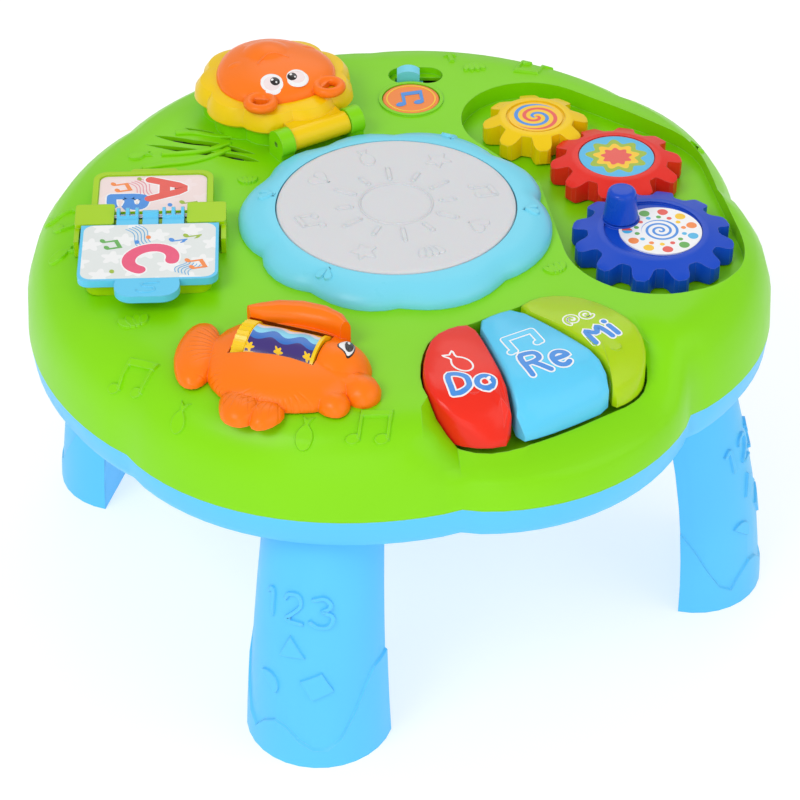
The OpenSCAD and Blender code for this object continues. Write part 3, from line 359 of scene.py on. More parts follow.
    def star(self, x: Socket, y: Socket, radius: float, points: int, depth: float) -> Socket:
        """Draws a star with rounded points.

        Args:
            x: The first coordinate from its middle, in millimetres.
            y: The second coordinate.
            radius: Its mean radius.
            points: How many points it has.
            depth: How deep the notches are, as a share of the radius.

        Returns:
            One inside the star, zero outside.
        """
        far, turn = self.polar(x, y)
        wave = self.math("COSINE", self.times(turn, math.tau * points))
        reach = self.plus(self.times(wave, radius * depth), radius)
        return self.edge(self.less(far, reach), 0.0, -0.12)

    def relief(self, height: object, depth: float, strength: float, under: Socket | None = None) -> Socket:
        """Adds a bump.

        Args:
            height: Its height, from zero to one.
            depth: What one means, in millimetres.
            strength: How much of it shows.
            under: The normal that it is added to.

        Returns:
            The bumped normal.
        """
        made = self.node("ShaderNodeBump")
        self.feed(made.inputs["Height"], height)
        self.feed(made.inputs["Distance"], depth * MM)
        self.feed(made.inputs["Strength"], strength)
        if under is not None:
            self.feed(made.inputs["Normal"], under)
        return made.outputs["Normal"]

    def rounded(self, radius: float) -> tuple[Socket, Socket]:
        """Rounds the edges that light meets, and finds them.

        Args:
            radius: The edge radius in millimetres.

        Returns:
            The rounded normal, and a value that is one on sharp edges.
        """
        bevel = self.node("ShaderNodeBevel", samples=4)
        bevel.inputs["Radius"].default_value = radius * MM
        flat = self.node("ShaderNodeNewGeometry")
        match = self.node("ShaderNodeVectorMath", operation="DOT_PRODUCT")
        self.feed(match.inputs[0], bevel.outputs["Normal"])
        self.feed(match.inputs[1], flat.outputs["Normal"])
        return bevel.outputs["Normal"], self.edge(match.outputs["Value"], SHARP_AT, -SHARP_SOFT)


@dataclass(frozen=True)
class Finish:
    """A surface finish that a material is made from on first use."""

    name: str

    def material(self) -> bpy.types.Material:
        """Gives the finish's material.

        Returns:
            The material, shared by every piece with this finish.
        """
        made = bpy.data.materials.get(self.name)
        if made is None:
            sheet = NodeSheet(self.name)
            self.lay(sheet)
            made = sheet.material
        return made

    def lay(self, sheet: NodeSheet) -> None:
        """Paints the finish on a sheet."""
        raise NotImplementedError


@dataclass(frozen=True)
class Moulded(Finish):
    """Injection-moulded plastic: flow clouds in the colour, spark grain, faint scuffs, and sharp edges made
    paler, partly by rubbing and partly as a painted edge highlight.
    """

    tint: Tint = Tint.LEAF
    shine: float = 0.34
    drift: float = 0.035
    grain: float = 0.10
    edge_radius: float = 0.5
    gloss_coat: float = 0.12
    glow: float = 0.0
    # How far sharp edges are mixed towards white: partly rubbing, partly a painted edge highlight.
    edge_highlight_and_wear: float = 0.22
    smear: float = 0.14
    fleck: float = 0.10

    def colour(self, sheet: NodeSheet, where: Socket) -> Socket:
        """Gives the plastic's own colour, before its sharp edges are made paler by rubbing and a painted edge
        highlight.

        Args:
            sheet: The material's nodes.
            where: Coordinates in millimetres.

        Returns:
            The colour.
        """
        clouds = sheet.noise(where, 55.0, 2.0)
        base = sheet.mix(clouds, paint(self.tint, 1 - self.drift), paint(self.tint, 1 + self.drift))
        flecks = sheet.edge(sheet.noise(where, 0.9, 3.0), 0.66, 0.06)
        return sheet.mix(sheet.times(flecks, self.fleck), base, paint(self.tint, 0.8))

    def form(self, sheet: NodeSheet, where: Socket, under: Socket) -> Socket:
        """Adds the moulding's own shallow form to the normal; plain plastic has none."""
        return under

    def lay(self, sheet: NodeSheet) -> None:
        """Paints the plastic.

        Args:
            sheet: The material's nodes.
        """
        where = sheet.place()
        round_normal, sharp_edge_mask = sheet.rounded(self.edge_radius)
        # Sharp convex edges are mixed towards white under a noise: partly rubbing, partly a painted edge
        # highlight.
        edge_highlight_and_rub = sheet.times(sharp_edge_mask, sheet.noise(where, 7.0, 3.0))
        colour = sheet.mix(sheet.times(edge_highlight_and_rub, self.edge_highlight_and_wear), self.colour(sheet, where), paint(Tint.WHITE))
        smear = sheet.times(sheet.noise(where, 16.0, 3.0, 0.6), self.smear)
        rough = sheet.math("ADD", smear, self.shine - self.smear / 2, clamp=True)
        sag = sheet.relief(sheet.noise(where, 34.0, 1.0), 0.25, 0.22, round_normal)
        shaped = self.form(sheet, where, sag)
        spark = sheet.relief(sheet.noise(where, 0.55, 2.0), 0.02, self.grain * 2, shaped)
        sheet.surface(colour, rough, spark)
        coat = self.gloss_coat * 0.4
        sheet.constants(ior=1.48, specular_ior_level=0.24, coat_weight=coat, coat_roughness=0.16)
        if self.glow:
            sheet.constants(subsurface_weight=self.glow, subsurface_scale=0.004)


@dataclass(frozen=True)
class Finned(Moulded):
    """Moulded plastic with fine grooves that fan out from a few points, as on a tail or fin."""

    fans: tuple[tuple[float, float, float, float, float, float], ...] = ()
    groove: float = 0.075
    half_fan: float = 0.17

    def form(self, sheet: NodeSheet, where: Socket, under: Socket) -> Socket:
        """Adds the fans of grooves.

        Args:
            sheet: The material's nodes.
            where: Coordinates in millimetres.
            under: The normal so far.

        Returns:
            The grooved normal.
        """
        for x0, y0, near, far, pitch, turn in self.fans:
            x, y, _ = sheet.split(sheet.place(Vector((x0, y0, 0)), turn))
            reach, angle = sheet.polar(x, y)
            line = sheet.math("PINGPONG", sheet.plus(angle, 1.0), pitch / 720)
            groove = sheet.edge(sheet.times(line, reach), self.groove, 0.06)
            inside = sheet.times(sheet.edge(reach, near, 1.5), sheet.edge(reach, far, -2.5))
            inside = sheet.times(inside, sheet.edge(sheet.math("ABSOLUTE", angle), self.half_fan, -0.02))
            filled = sheet.less(1.0, sheet.times(inside, sheet.less(1.0, groove)))
            under = sheet.relief(filled, 0.45, 0.5, under)
        return under


@dataclass(frozen=True)
class Ink(Finish):
    """Pad-printed ink: a thin satin film with a slightly uneven coat."""

    tint: Tint = Tint.WHITE
    shine: float = 0.36
    coat: float = 0.12

    def colour(self, sheet: NodeSheet) -> Socket:
        """Gives the ink's colour."""
        clouds = sheet.noise(sheet.place(), 3.0, 3.0)
        return sheet.mix(clouds, paint(self.tint, 0.93), paint(self.tint, 1.05))

    def lay(self, sheet: NodeSheet) -> None:
        """Paints the ink.

        Args:
            sheet: The material's nodes.
        """
        where = sheet.place()
        colour = self.colour(sheet)
        coat = sheet.times(sheet.noise(where, 5.0, 2.0), self.coat)
        rough = sheet.plus(coat, self.shine - self.coat / 2)
        sheet.surface(colour, rough, sheet.relief(sheet.noise(where, 0.4, 2.0), 0.01, 0.3))
        sheet.constants(ior=1.5)


@dataclass(frozen=True)
class StarredPaper(Ink):
    """Printed paper sticker with faint pale stars in staggered rows."""

    second: Tint = Tint.PAPER_GREY
    centre: Point = (0.0, 0.0)
    turn: float = 0.0
    pitch: float = 17.0
    show: float = 0.75

    def colour(self, sheet: NodeSheet) -> Socket:
        """Gives the paper's colour with its stars.

        Args:
            sheet: The material's nodes.

        Returns:
            The colour.
        """
        x, y, _ = sheet.split(sheet.place(Vector((*self.centre, 0)), self.turn))
        row_pitch = self.pitch * 0.8
        row = sheet.math("FLOOR", sheet.share(y, row_pitch))
        shift = sheet.times(sheet.math("PINGPONG", row, 1.0), self.pitch / 2)
        along = sheet.math("WRAP", sheet.plus(x, shift), self.pitch / 2)
        along.node.inputs[2].default_value = -self.pitch / 2
        across = sheet.less(y, sheet.times(sheet.plus(row, 0.5), row_pitch))
        stars = sheet.star(along, across, self.pitch * 0.27, 5, 0.28)
        clouds = sheet.noise(sheet.place(), 14.0, 2.0)
        ground = sheet.mix(clouds, paint(self.tint, 0.97), paint(self.tint, 1.03))
        return sheet.mix(sheet.times(stars, self.show), ground, paint(self.second))


@dataclass(frozen=True)
class SwirlLabel(Ink):
    """A round label with a spiral of two colours on a ground."""

    arms: tuple[Tint, Tint] = (Tint.PRINT_RED, Tint.PRINT_BLUE)
    centre: Point = (0.0, 0.0)
    pitch: float = 9.0
    width: float = 0.24
    starts: Point = (0.04, 0.54)
    reach: float = 13.0

    def colour(self, sheet: NodeSheet) -> Socket:
        """Gives the swirl.

        Args:
            sheet: The material's nodes.

        Returns:
            The colour.
        """
        x, y, _ = sheet.split(sheet.place(Vector((*self.centre, 0))))
        far, angle = sheet.polar(x, y)
        phase = sheet.math("FRACT", sheet.plus(sheet.share(far, self.pitch), angle))
        shown = paint(self.tint)
        for start, tint in zip(self.starts, self.arms):
            arm = sheet.within(phase, start, start + self.width, 0.012)
            arm = sheet.times(arm, sheet.edge(far, self.reach, -PRINT_SOFT))
            shown = sheet.mix(arm, shown, paint(tint))
        return shown


@dataclass(frozen=True)
class NestedStars(Ink):
    """A round label with stars of lessening size, one in another."""

    centre: Point = (0.0, 0.0)
    layers: tuple[tuple[float, Tint], ...] = ()
    turn: float = 12.0
    points: int = 9

    def colour(self, sheet: NodeSheet) -> Socket:
        """Gives the nested stars.

        Args:
            sheet: The material's nodes.

        Returns:
            The colour.
        """
        x, y, _ = sheet.split(sheet.place(Vector((*self.centre, 0)), self.turn))
        shown = paint(self.tint)
        for radius, tint in self.layers:
            shown = sheet.mix(sheet.star(x, y, radius, self.points, 0.13), shown, paint(tint))
        return shown


@dataclass(frozen=True)
class DottedSwirl(Ink):
    """A round label with a thin spiral in the middle and rings of coloured dots round it."""

    centre: Point = (0.0, 0.0)
    rings: tuple[tuple[float, int, float], ...] = ((12.2, 14, 1.3), (16.8, 11, 2.7))
    dots: tuple[tuple[float, Tint], ...] = (
        (0.0, Tint.PRINT_RED), (0.2, Tint.PRINT_ORANGE), (0.42, Tint.PRINT_GREEN), (0.62, Tint.AMBER),
        (0.8, Tint.SKY_PRINT))
    pitch: float = 3.4
    reach: float = 9.6
    scatter: float = 0.381966

    def colour(self, sheet: NodeSheet) -> Socket:
        """Gives the spiral and its dots.

        Args:
            sheet: The material's nodes.

        Returns:
            The colour.
        """
        x, y, _ = sheet.split(sheet.place(Vector((*self.centre, 0))))
        far, angle = sheet.polar(x, y)
        phase = sheet.math("FRACT", sheet.less(sheet.share(far, self.pitch), angle))
        arm = sheet.times(sheet.within(phase, 0.3, 0.72, 0.03), sheet.edge(far, self.reach, -PRINT_SOFT))
        shown = sheet.mix(arm, paint(self.tint), paint(Tint.PRINT_BLUE))
        for radius, count, size in self.rings:
            cell = sheet.plus(sheet.times(angle, count), 40.0)
            along = sheet.times(sheet.less(sheet.math("FRACT", cell), 0.5), math.tau * radius / count)
            out = sheet.less(far, radius)
            gap = sheet.math("SQRT", sheet.plus(sheet.times(along, along), sheet.times(out, out)))
            pick = sheet.math("FRACT", sheet.times(sheet.math("FLOOR", cell), self.scatter))
            shown = sheet.mix(sheet.edge(gap, size, -0.12), shown, sheet.bands(pick, self.dots))
        return shown


@dataclass(frozen=True)
class SeaPrint(Ink):
    """The roller's wrap: waves of white, yellow and blues, and a dark band with stars."""

    centre: tuple[float, float, float] = (0.0, 0.0, 0.0)
    turn: float = 0.0
    radius: float = 17.1
    printed: Point = (-14.0, 18.6)
    repeat: float = 78.0
    shift: float = 2.538
    wave: Point = (14.0, 6.5)
    star_pitch: float = 14.5
    star_row: float = 0.18
    sea: tuple[tuple[float, Tint], ...] = (
        (0.0, Tint.PLUM), (0.36, Tint.DEEP), (0.56, Tint.LAGOON), (0.76, Tint.SEA_WHITE), (0.88, Tint.AMBER))

    def lap(self, sheet: NodeSheet, angle: Socket) -> Socket:
        """Gives the share of the print's repeat at an angle round the roller."""
        return sheet.math("FRACT", sheet.plus(sheet.share(angle, self.repeat), self.shift))

    def colour(self, sheet: NodeSheet) -> Socket:
        """Gives the waves and stars inside the printed length, and the bare plastic beyond it.

        Args:
            sheet: The material's nodes.

        Returns:
            The colour.
        """
        x, y, z = sheet.split(sheet.place(Vector(self.centre), self.turn))
        angle = sheet.times(sheet.math("ARCTAN2", y, z), 180 / math.pi)
        length, height = self.wave
        wave = sheet.times(sheet.math("SINE", sheet.times(x, math.tau / length)), height)
        swell = sheet.times(sheet.math("SINE", sheet.plus(sheet.times(angle, 0.035), 1.2)), wave)
        lapped = self.lap(sheet, sheet.plus(angle, swell))
        straight = self.lap(sheet, angle)
        shown = sheet.bands(lapped, self.sea)
        thin = sheet.math("PINGPONG", sheet.times(lapped, self.repeat), 1.1)
        lines = sheet.times(sheet.edge(thin, 0.25, -PRINT_SOFT), sheet.within(lapped, 0.89, 0.98, 0.004))
        shown = sheet.mix(lines, shown, paint(Tint.PRINT_ORANGE))
        cell = sheet.plus(sheet.share(x, self.star_pitch), 10.35)
        along = sheet.times(sheet.less(sheet.math("FRACT", cell), 0.5), self.star_pitch)
        lift = sheet.times(sheet.math("SINE", sheet.times(x, 0.41)), 1.6)
        rise = sheet.times(sheet.less(straight, self.star_row), math.radians(self.repeat) * self.radius)
        shown = sheet.mix(sheet.star(along, sheet.plus(lift, rise), 2.0, 5, 0.3), shown, paint(Tint.AMBER))
        return sheet.mix(sheet.within(x, *self.printed, 0.05), paint(Tint.SUN), shown)


@dataclass(frozen=True)
class Drawn(Finish):
    """Drawn or turned steel: fine streaks in the shine."""

    rough: float = 0.28
    streak: float = 0.2

    def lay(self, sheet: NodeSheet) -> None:
        """Paints the steel.

        Args:
            sheet: The material's nodes.
        """
        where = sheet.place()
        colour = sheet.mix(sheet.noise(where, 2.5, 4.0, 0.7), paint(Tint.STEEL, 0.75), paint(Tint.STEEL))
        streaks = sheet.times(sheet.noise(where, 0.3, 2.0), self.streak)
        rough = sheet.plus(streaks, self.rough - self.streak / 2)
        sheet.surface(colour, rough, sheet.relief(sheet.noise(where, 0.2, 2.0), 0.01, 0.3))
        sheet.constants(metallic=1.0)


@dataclass(frozen=True)
class Matt(Finish):
    """Dull rubber, card or solder mask with a fine tooth."""

    tint: Tint = Tint.GRAPHITE
    rough: float = 0.7
    tooth: float = 0.5
    dull: float = 0.2

    def lay(self, sheet: NodeSheet) -> None:
        """Paints the matt surface.

        Args:
            sheet: The material's nodes.
        """
        where = sheet.place()
        colour = sheet.mix(sheet.noise(where, 4.0, 4.0), paint(self.tint, 0.75), paint(self.tint, 1.2))
        rough = sheet.plus(sheet.times(sheet.noise(where, 1.5, 2.0), self.dull), self.rough - self.dull / 2)
        sheet.surface(colour, rough, sheet.relief(sheet.noise(where, self.tooth, 3.0), 0.05, 0.5))


@dataclass(frozen=True)
class Ground(Finish):
    """The studio floor: pale card that keeps the object's shadow."""

    level: float = 0.50
    cloud: float = 0.02
    lit: float = 0.60

    def lay(self, sheet: NodeSheet) -> None:
        """Paints the floor.

        Args:
            sheet: The material's nodes.
        """
        pale, white = ((level, level, level, 1.0) for level in (self.level, self.level + self.cloud))
        colour = sheet.mix(sheet.noise(sheet.place(), 400.0, 2.0), pale, white)
        sheet.feed(sheet.shader.inputs["Base Color"], colour)
        sheet.constants(roughness=0.9, specular_ior_level=0.1, emission_strength=self.lit)


# Bench work


class Bench:
    """Blender's own hand operations, on one object at a time."""

    @staticmethod
    def clear() -> None:
        """Leaves any edit mode and deselects everything."""
        active = bpy.context.view_layer.objects.active
        if active is not None and active.mode != "OBJECT":
            bpy.ops.object.mode_set(mode="OBJECT")
        bpy.ops.object.select_all(action="DESELECT")

    @staticmethod
    def only(obj: Object) -> Object:
        """Selects one object alone.

        Args:
            obj: The object.

        Returns:
            The same object, active.
        """
        Bench.clear()
        obj.select_set(True)
        bpy.context.view_layer.objects.active = obj
        return obj

    @staticmethod
    def edit(obj: Object, mode: str = "VERT", chosen: bool = False) -> None:
        """Opens a mesh for editing.

        Args:
            obj: The object.
            mode: Which elements are picked.
            chosen: Whether everything starts selected.
        """
        Bench.only(obj)
        bpy.ops.object.mode_set(mode="EDIT")
        bpy.ops.mesh.select_mode(type=mode)
        bpy.ops.mesh.select_all(action="SELECT" if chosen else "DESELECT")

    @staticmethod
    def done() -> None:
        """Goes back to object mode."""
        bpy.ops.object.mode_set(mode="OBJECT")

    @staticmethod
    def fresh(name: str) -> Object:
        """Names the object that an operator has just added.

        Args:
            name: Its name.

        Returns:
            The object.
        """
        obj = bpy.context.view_layer.objects.active
        obj.name = name
        obj.data.name = name
        return obj

    @staticmethod
    def modify(obj: Object, kind: str, **settings: object) -> None:
        """Adds a modifier and applies it.

        Args:
            obj: The object.
            kind: The modifier's type.
            **settings: Its settings.
        """
        Bench.only(obj)
        bpy.ops.object.modifier_add(type=kind)
        modifier = obj.modifiers[-1]
        for name, value in settings.items():
            setattr(modifier, name, value)
        bpy.ops.object.modifier_apply(modifier=modifier.name)

    @staticmethod
    def settle(obj: Object) -> Object:
        """Brings an object's place into its mesh.

        Args:
            obj: The object.

        Returns:
            The same object, at the origin.
        """
        Bench.only(obj)
        bpy.ops.object.transform_apply(location=True, rotation=True, scale=True)
        return obj

    @staticmethod
    def join(parts: list[Object], name: str) -> Object:
        """Joins objects into one.

        Args:
            parts: The objects.
            name: The joined object's name.

        Returns:
            The joined object.
        """
        Bench.only(parts[0])
        for part in parts[1:]:
            part.select_set(True)
        if len(parts) > 1:
            bpy.ops.object.join()
        return Bench.fresh(name)

    @staticmethod
    def smooth(obj: Object, crease: float, weighted: bool = False) -> Object:
        """Merges loose triangles and shades them smooth up to a crease angle.

        Args:
            obj: The object.
            crease: The angle in degrees.
            weighted: Whether large faces keep their own flatness.

        Returns:
            The same object.
        """
        Bench.edit(obj, chosen=True)
        bpy.ops.mesh.remove_doubles(threshold=MERGE)
        Bench.done()
        bpy.ops.mesh.customdata_custom_splitnormals_clear()
        bpy.ops.object.shade_smooth_by_angle(angle=math.radians(crease))
        if weighted:
            Bench.modify(obj, "WEIGHTED_NORMAL", keep_sharp=True, weight=60)
        return obj

    @staticmethod
    def panel(outline: Outline, name: str = "panel") -> Object:
        """Cuts a flat panel.

        Args:
            outline: Its corners in millimetres, in order.
            name: Its name.

        Returns:
            The panel, facing up.
        """
        Bench.clear()
        bpy.ops.mesh.primitive_circle_add(vertices=len(outline), radius=MM, fill_type="NGON")
        obj = Bench.fresh(name)
        for vertex, (x, y) in zip(obj.data.vertices, outline):
            vertex.co = (x * MM, y * MM, 0)
        obj.data.update()
        if obj.data.polygons[0].normal.z < 0:
            Bench.edit(obj, chosen=True)
            bpy.ops.mesh.flip_normals()
            Bench.done()
        return obj

    @staticmethod
    def ribbon(path: Outline, width: float, closed: bool = False) -> list[Object]:
        """Lays a flat ribbon along a path, with round ends.

        Args:
            path: Points of its middle in millimetres.
            width: Its width in millimetres.
            closed: Whether it runs back to its start.

        Returns:
            The ribbon and its two round ends, each facing up.
        """
        points = [Vector((x, y)) for x, y in path] + ([Vector(path[0])] if closed else [])
        Bench.clear()
        bpy.ops.mesh.primitive_grid_add(x_subdivisions=len(points) - 1, y_subdivisions=1, size=MM)
        obj = Bench.fresh("ribbon")
        count = len(points)
        for i, point in enumerate(points):
            back = points[i - 1] if i else (points[-2] if closed else points[0])
            ahead = points[i + 1] if i < count - 1 else (points[1] if closed else points[-1])
            one = (point - back).normalized() if (point - back).length else (ahead - point).normalized()
            two = (ahead - point).normalized() if (ahead - point).length else one
            mid = (one + two).normalized() if (one + two).length > 1e-6 else one
            side = Vector((-mid.y, mid.x)) * (width / 2 / max(0.6, mid.dot(one)))
            for row, sign in ((0, -1), (1, 1)):
                spot = point + side * sign
                obj.data.vertices[row * count + i].co = (spot.x * MM, spot.y * MM, 0)
        if closed:
            Bench.edit(obj, chosen=True)
            bpy.ops.mesh.remove_doubles(threshold=MERGE / 10)
            Bench.done()
            return [obj]
        rounds = [Stencil.ellipse(p.x, p.y, width / 2, width / 2, 0, 16) for p in (points[0], points[-1])]
        return [obj, *[Bench.panel(outline) for outline in rounds]]

    @staticmethod
    def grid_cut(obj: Object, step: float) -> None:
        """Cuts a flat piece into small squares so that it can follow a curved surface.

        Args:
            obj: The flat piece.
            step: The squares' size in millimetres.
        """
        corners = [Vector(c) for c in obj.bound_box]
        Bench.edit(obj, chosen=True)
        for axis in (0, 1):
            low = min(c[axis] for c in corners)
            high = max(c[axis] for c in corners)
            for k in range(1, int((high - low) / (step * MM)) + 1):
                at, along = Vector(), Vector()
                at[axis] = low + k * step * MM
                along[axis] = 1
                bpy.ops.mesh.select_all(action="SELECT")
                bpy.ops.mesh.bisect(plane_co=at, plane_no=along)
        Bench.done()

    @staticmethod
    def spot(target: Object, origin: Vector, aim: Vector, right: Vector) -> Matrix:
        """Finds where a line meets a surface.

        Args:
            target: The surface.
            origin: Where the line starts, in metres.
            aim: Its direction.
            right: The direction that the spot's X should run in.

        Returns:
            A frame on the surface, its Z pointing out.
        """
        found, where, normal, _ = target.ray_cast(origin, aim)
        if not found:
            raise ValueError(f"nothing of {target.name} lies under {tuple(origin)}")
        up = normal.normalized()
        across = (right - up * right.dot(up)).normalized()
        turned = Matrix((across, up.cross(across), up)).transposed().to_4x4()
        return Matrix.Translation(where) @ turned

    @staticmethod
    def over(target: Object, x: float, y: float, turn: float = 0.0) -> Matrix:
        """Finds the frame on top of a surface."""
        right = Vector((math.cos(math.radians(turn)), math.sin(math.radians(turn)), 0))
        return Bench.spot(target, Vector((x, y, 300)) * MM, Vector((0, 0, -1)), right)

    @staticmethod
    def lay(obj: Object, where: Matrix, target: Object, step: float = 0.0) -> Object:
        """Lays a flat piece on a surface, and trims what hangs over its edge.

        Args:
            obj: The flat piece, in its own plane.
            where: The frame on the surface.
            target: The surface.
            step: The size of the squares it is first cut into, or zero.

        Returns:
            The laid piece.
        """
        if step:
            Bench.grid_cut(obj, step)
        obj.matrix_world = where @ Matrix.Translation((0, 0, LIFT * MM))
        Bench.modify(obj, "SHRINKWRAP", target=target, wrap_method="PROJECT", use_project_z=True,
                     use_negative_direction=True, use_positive_direction=False)
        Bench.edit(obj)
        Bench.done()
        for vertex in obj.data.vertices:
            vertex.select = abs(vertex.co.z) < 1e-9 or vertex.co.z < -2 * LIFT * MM
        lost = sum(vertex.select for vertex in obj.data.vertices)
        if lost:
            log.warning("%s: %d points hang over the edge and are trimmed", obj.name, lost)
            bpy.ops.object.mode_set(mode="EDIT")
            bpy.ops.mesh.delete(type="VERT")
            Bench.done()
        return Bench.settle(obj)

    @staticmethod
    def shoulder(obj: Object, slope: float) -> None:
        """Marks off a sloping border round a flat piece, with a plateau inside it.

        Args:
            obj: The flat piece.
            slope: The border's width in millimetres.
        """
        Bench.edit(obj, "FACE", chosen=True)
        bpy.ops.mesh.inset(thickness=slope * MM, depth=0)
        bpy.ops.object.vertex_group_assign_new()
        Bench.done()
        obj.vertex_groups[0].name = "plateau"

    @staticmethod
    def swell(obj: Object, height: float) -> Object:
        """Raises the plateau of a laid piece.

        Args:
            obj: The laid piece.
            height: The height in millimetres.

        Returns:
            The same piece.
        """
        Bench.modify(obj, "DISPLACE", vertex_group="plateau", strength=height * MM, mid_level=0.0,
                     direction="NORMAL")
        Bench.only(obj)
        bpy.ops.object.shade_smooth_by_angle(angle=math.radians(38))
        return obj

    @staticmethod
    def thicken(obj: Object, height: float, sink: float) -> Object:
        """Gives a laid film its thickness.

        Args:
            obj: The laid piece.
            height: How far it stands proud, in millimetres.
            sink: How far it reaches in, in millimetres.

        Returns:
            The same piece.
        """
        thick = height + sink
        Bench.modify(obj, "SOLIDIFY", thickness=thick * MM, offset=(height - sink) / thick)
        return obj

    @staticmethod
    def dome(name: str, where: Matrix, rx: float, ry: float, rise: float, sink: float = 0.6) -> Object:
        """Makes a low dome on a surface.

        Args:
            name: Its name.
            where: The frame on the surface.
            rx: Its half width along X, in millimetres.
            ry: Its half width along Y, in millimetres.
            rise: Its height, in millimetres.
            sink: How far it reaches in, in millimetres.

        Returns:
            The dome.
        """
        Bench.clear()
        bpy.ops.mesh.primitive_uv_sphere_add(segments=40, ring_count=24, radius=MM)
        obj = Bench.fresh(name)
        Bench.edit(obj, chosen=True)
        bpy.ops.mesh.bisect(plane_co=(0, 0, 0), plane_no=(0, 0, 1), clear_inner=True, use_fill=True)
        bpy.ops.mesh.select_all(action="SELECT")
        bpy.ops.transform.resize(value=(rx, ry, rise + sink))
        bpy.ops.transform.translate(value=(0, 0, -sink * MM))
        Bench.done()
        obj.matrix_world = where
        Bench.settle(obj)
        return Bench.smooth(obj, 50)


class Stencil:
    """Flat outlines of the small common motifs, in millimetres."""

    @staticmethod
    def ellipse(x: float, y: float, a: float, b: float, turn: float = 0.0, count: int = 28) -> Outline:
        """Draws an ellipse.

        Args:
            x: Its middle.
            y: Its middle.
            a: Its half length.
            b: Its half width.
            turn: Its direction in degrees.
            count: How many corners it has.

        Returns:
            The outline.
        """
        c, s = math.cos(math.radians(turn)), math.sin(math.radians(turn))
        ring = [(a * math.cos(k * math.tau / count), b * math.sin(k * math.tau / count)) for k in range(count)]
        return [(x + u * c - v * s, y + u * s + v * c) for u, v in ring]

    @staticmethod
    def turned(outline: Outline, angle: float, scale: float = 1.0, shift: Point = (0.0, 0.0)) -> Outline:
        """Turns, scales and shifts an outline."""
        c, s = math.cos(math.radians(angle)) * scale, math.sin(math.radians(angle)) * scale
        return [(shift[0] + x * c - y * s, shift[1] + x * s + y * c) for x, y in outline]

    @staticmethod
    def soft(path: Outline, passes: int = 2, closed: bool = False) -> Outline:
        """Rounds a path by cutting its corners.

        Args:
            path: The path.
            passes: How often the corners are cut.
            closed: Whether the path is a loop.

        Returns:
            The rounded path.
        """
        for _ in range(passes):
            count = len(path)
            cut: Outline = [] if closed else [path[0]]
            for k in range(count if closed else count - 1):
                (x0, y0), (x1, y1) = path[k], path[(k + 1) % count]
                cut += [(x0 * a + x1 * b, y0 * a + y1 * b) for a, b in ((0.75, 0.25), (0.25, 0.75))]
            path = cut if closed else cut + [path[-1]]
        return path

    @staticmethod
    def scaled(size: float, *outlines: Outline) -> list[Outline]:
        """Scales outlines that are drawn at a size of one."""
        return [Stencil.turned(outline, 0.0, size) for outline in outlines]

    @staticmethod
    def note(size: float) -> list[Outline]:
        """Draws the heads, stems and beam of two beamed notes of a height."""
        heads = [Stencil.ellipse(x, y, 0.19, 0.13, 20) for x, y in ((-0.40, -0.36), (0.26, -0.26))]
        return Stencil.scaled(size, *heads, [(-0.33, -0.36), (-0.21, -0.36), (-0.21, 0.36), (-0.33, 0.36)],
                              [(0.33, -0.26), (0.45, -0.26), (0.45, 0.48), (0.33, 0.48)],
                              [(-0.33, 0.20), (0.45, 0.32), (0.45, 0.54), (-0.33, 0.42)])

    @staticmethod
    def quaver(size: float) -> list[Outline]:
        """Draws the head, stem and flag of one note of a height."""
        flag = Stencil.soft([(0.02, 0.5), (0.30, 0.28), (0.30, 0.0), (0.20, 0.16), (0.02, 0.28)], 1, True)
        return Stencil.scaled(size, Stencil.ellipse(-0.1, -0.36, 0.2, 0.14, 20),
                              [(0.0, -0.36), (0.09, -0.36), (0.09, 0.5), (0.0, 0.5)], flag)

    @staticmethod
    def fish(size: float) -> list[Outline]:
        """Draws a small plain fish, its head down.

        Args:
            size: Its length.

        Returns:
            One outline.
        """
        angles = [math.radians(d) for d in range(-90, 70, 20)]
        belly = [(0.26 * math.cos(a), 0.36 * math.sin(a) - 0.16) for a in angles]
        right = belly + [(0.08, 0.22), (0.20, 0.50), (0.05, 0.42)]
        left = [(-x, y) for x, y in reversed(right)]
        return Stencil.scaled(size, right + [(0.0, 0.38)] + left[:-1])

    @staticmethod
    def shell(size: float) -> list[Outline]:
        """Draws the four overlapping lobes of a ribbed shell of a width."""
        lobes = [(k, 0.33 * (1 - 0.12 * abs(k))) for k in (-1.5, -0.5, 0.5, 1.5)]
        return Stencil.scaled(size, *[Stencil.ellipse(k * 0.19, 0, 0.15, high, -18 * k) for k, high in lobes])

    @staticmethod
    def arrow(size: float) -> list[Outline]:
        """Draws a broad arrow of a length."""
        return Stencil.scaled(size, [(-0.5, -0.14), (0.08, -0.14), (0.08, -0.34), (0.5, 0.0), (0.08, 0.34),
                                     (0.08, 0.14), (-0.5, 0.14)])

    @staticmethod
    def heart(size: float) -> list[Outline]:
        """Draws a heart.

        Args:
            size: Its width.

        Returns:
            One outline.
        """
        ring: Outline = []
        for k in range(36):
            t = k * math.tau / 36
            high = 13 * math.cos(t) - 5 * math.cos(2 * t) - 2 * math.cos(3 * t) - math.cos(4 * t)
            ring.append((0.5 * math.sin(t) ** 3, high / 32))
        return Stencil.scaled(size, ring)

    @staticmethod
    def star(size: float, points: int = 5, notch: float = 0.5) -> Outline:
        """Draws a star."""
        reach = (size, size * notch)
        steps = [(reach[k % 2], math.pi / 2 + k * math.pi / points) for k in range(2 * points)]
        return [(r * math.cos(a), r * math.sin(a)) for r, a in steps]

    @staticmethod
    def arc(x: float, y: float, a: float, b: float, start: float, end: float, count: int = 18) -> Outline:
        """Draws an arc."""
        angles = [math.radians(start + (end - start) * k / count) for k in range(count + 1)]
        return [(x + a * math.cos(t), y + b * math.sin(t)) for t in angles]

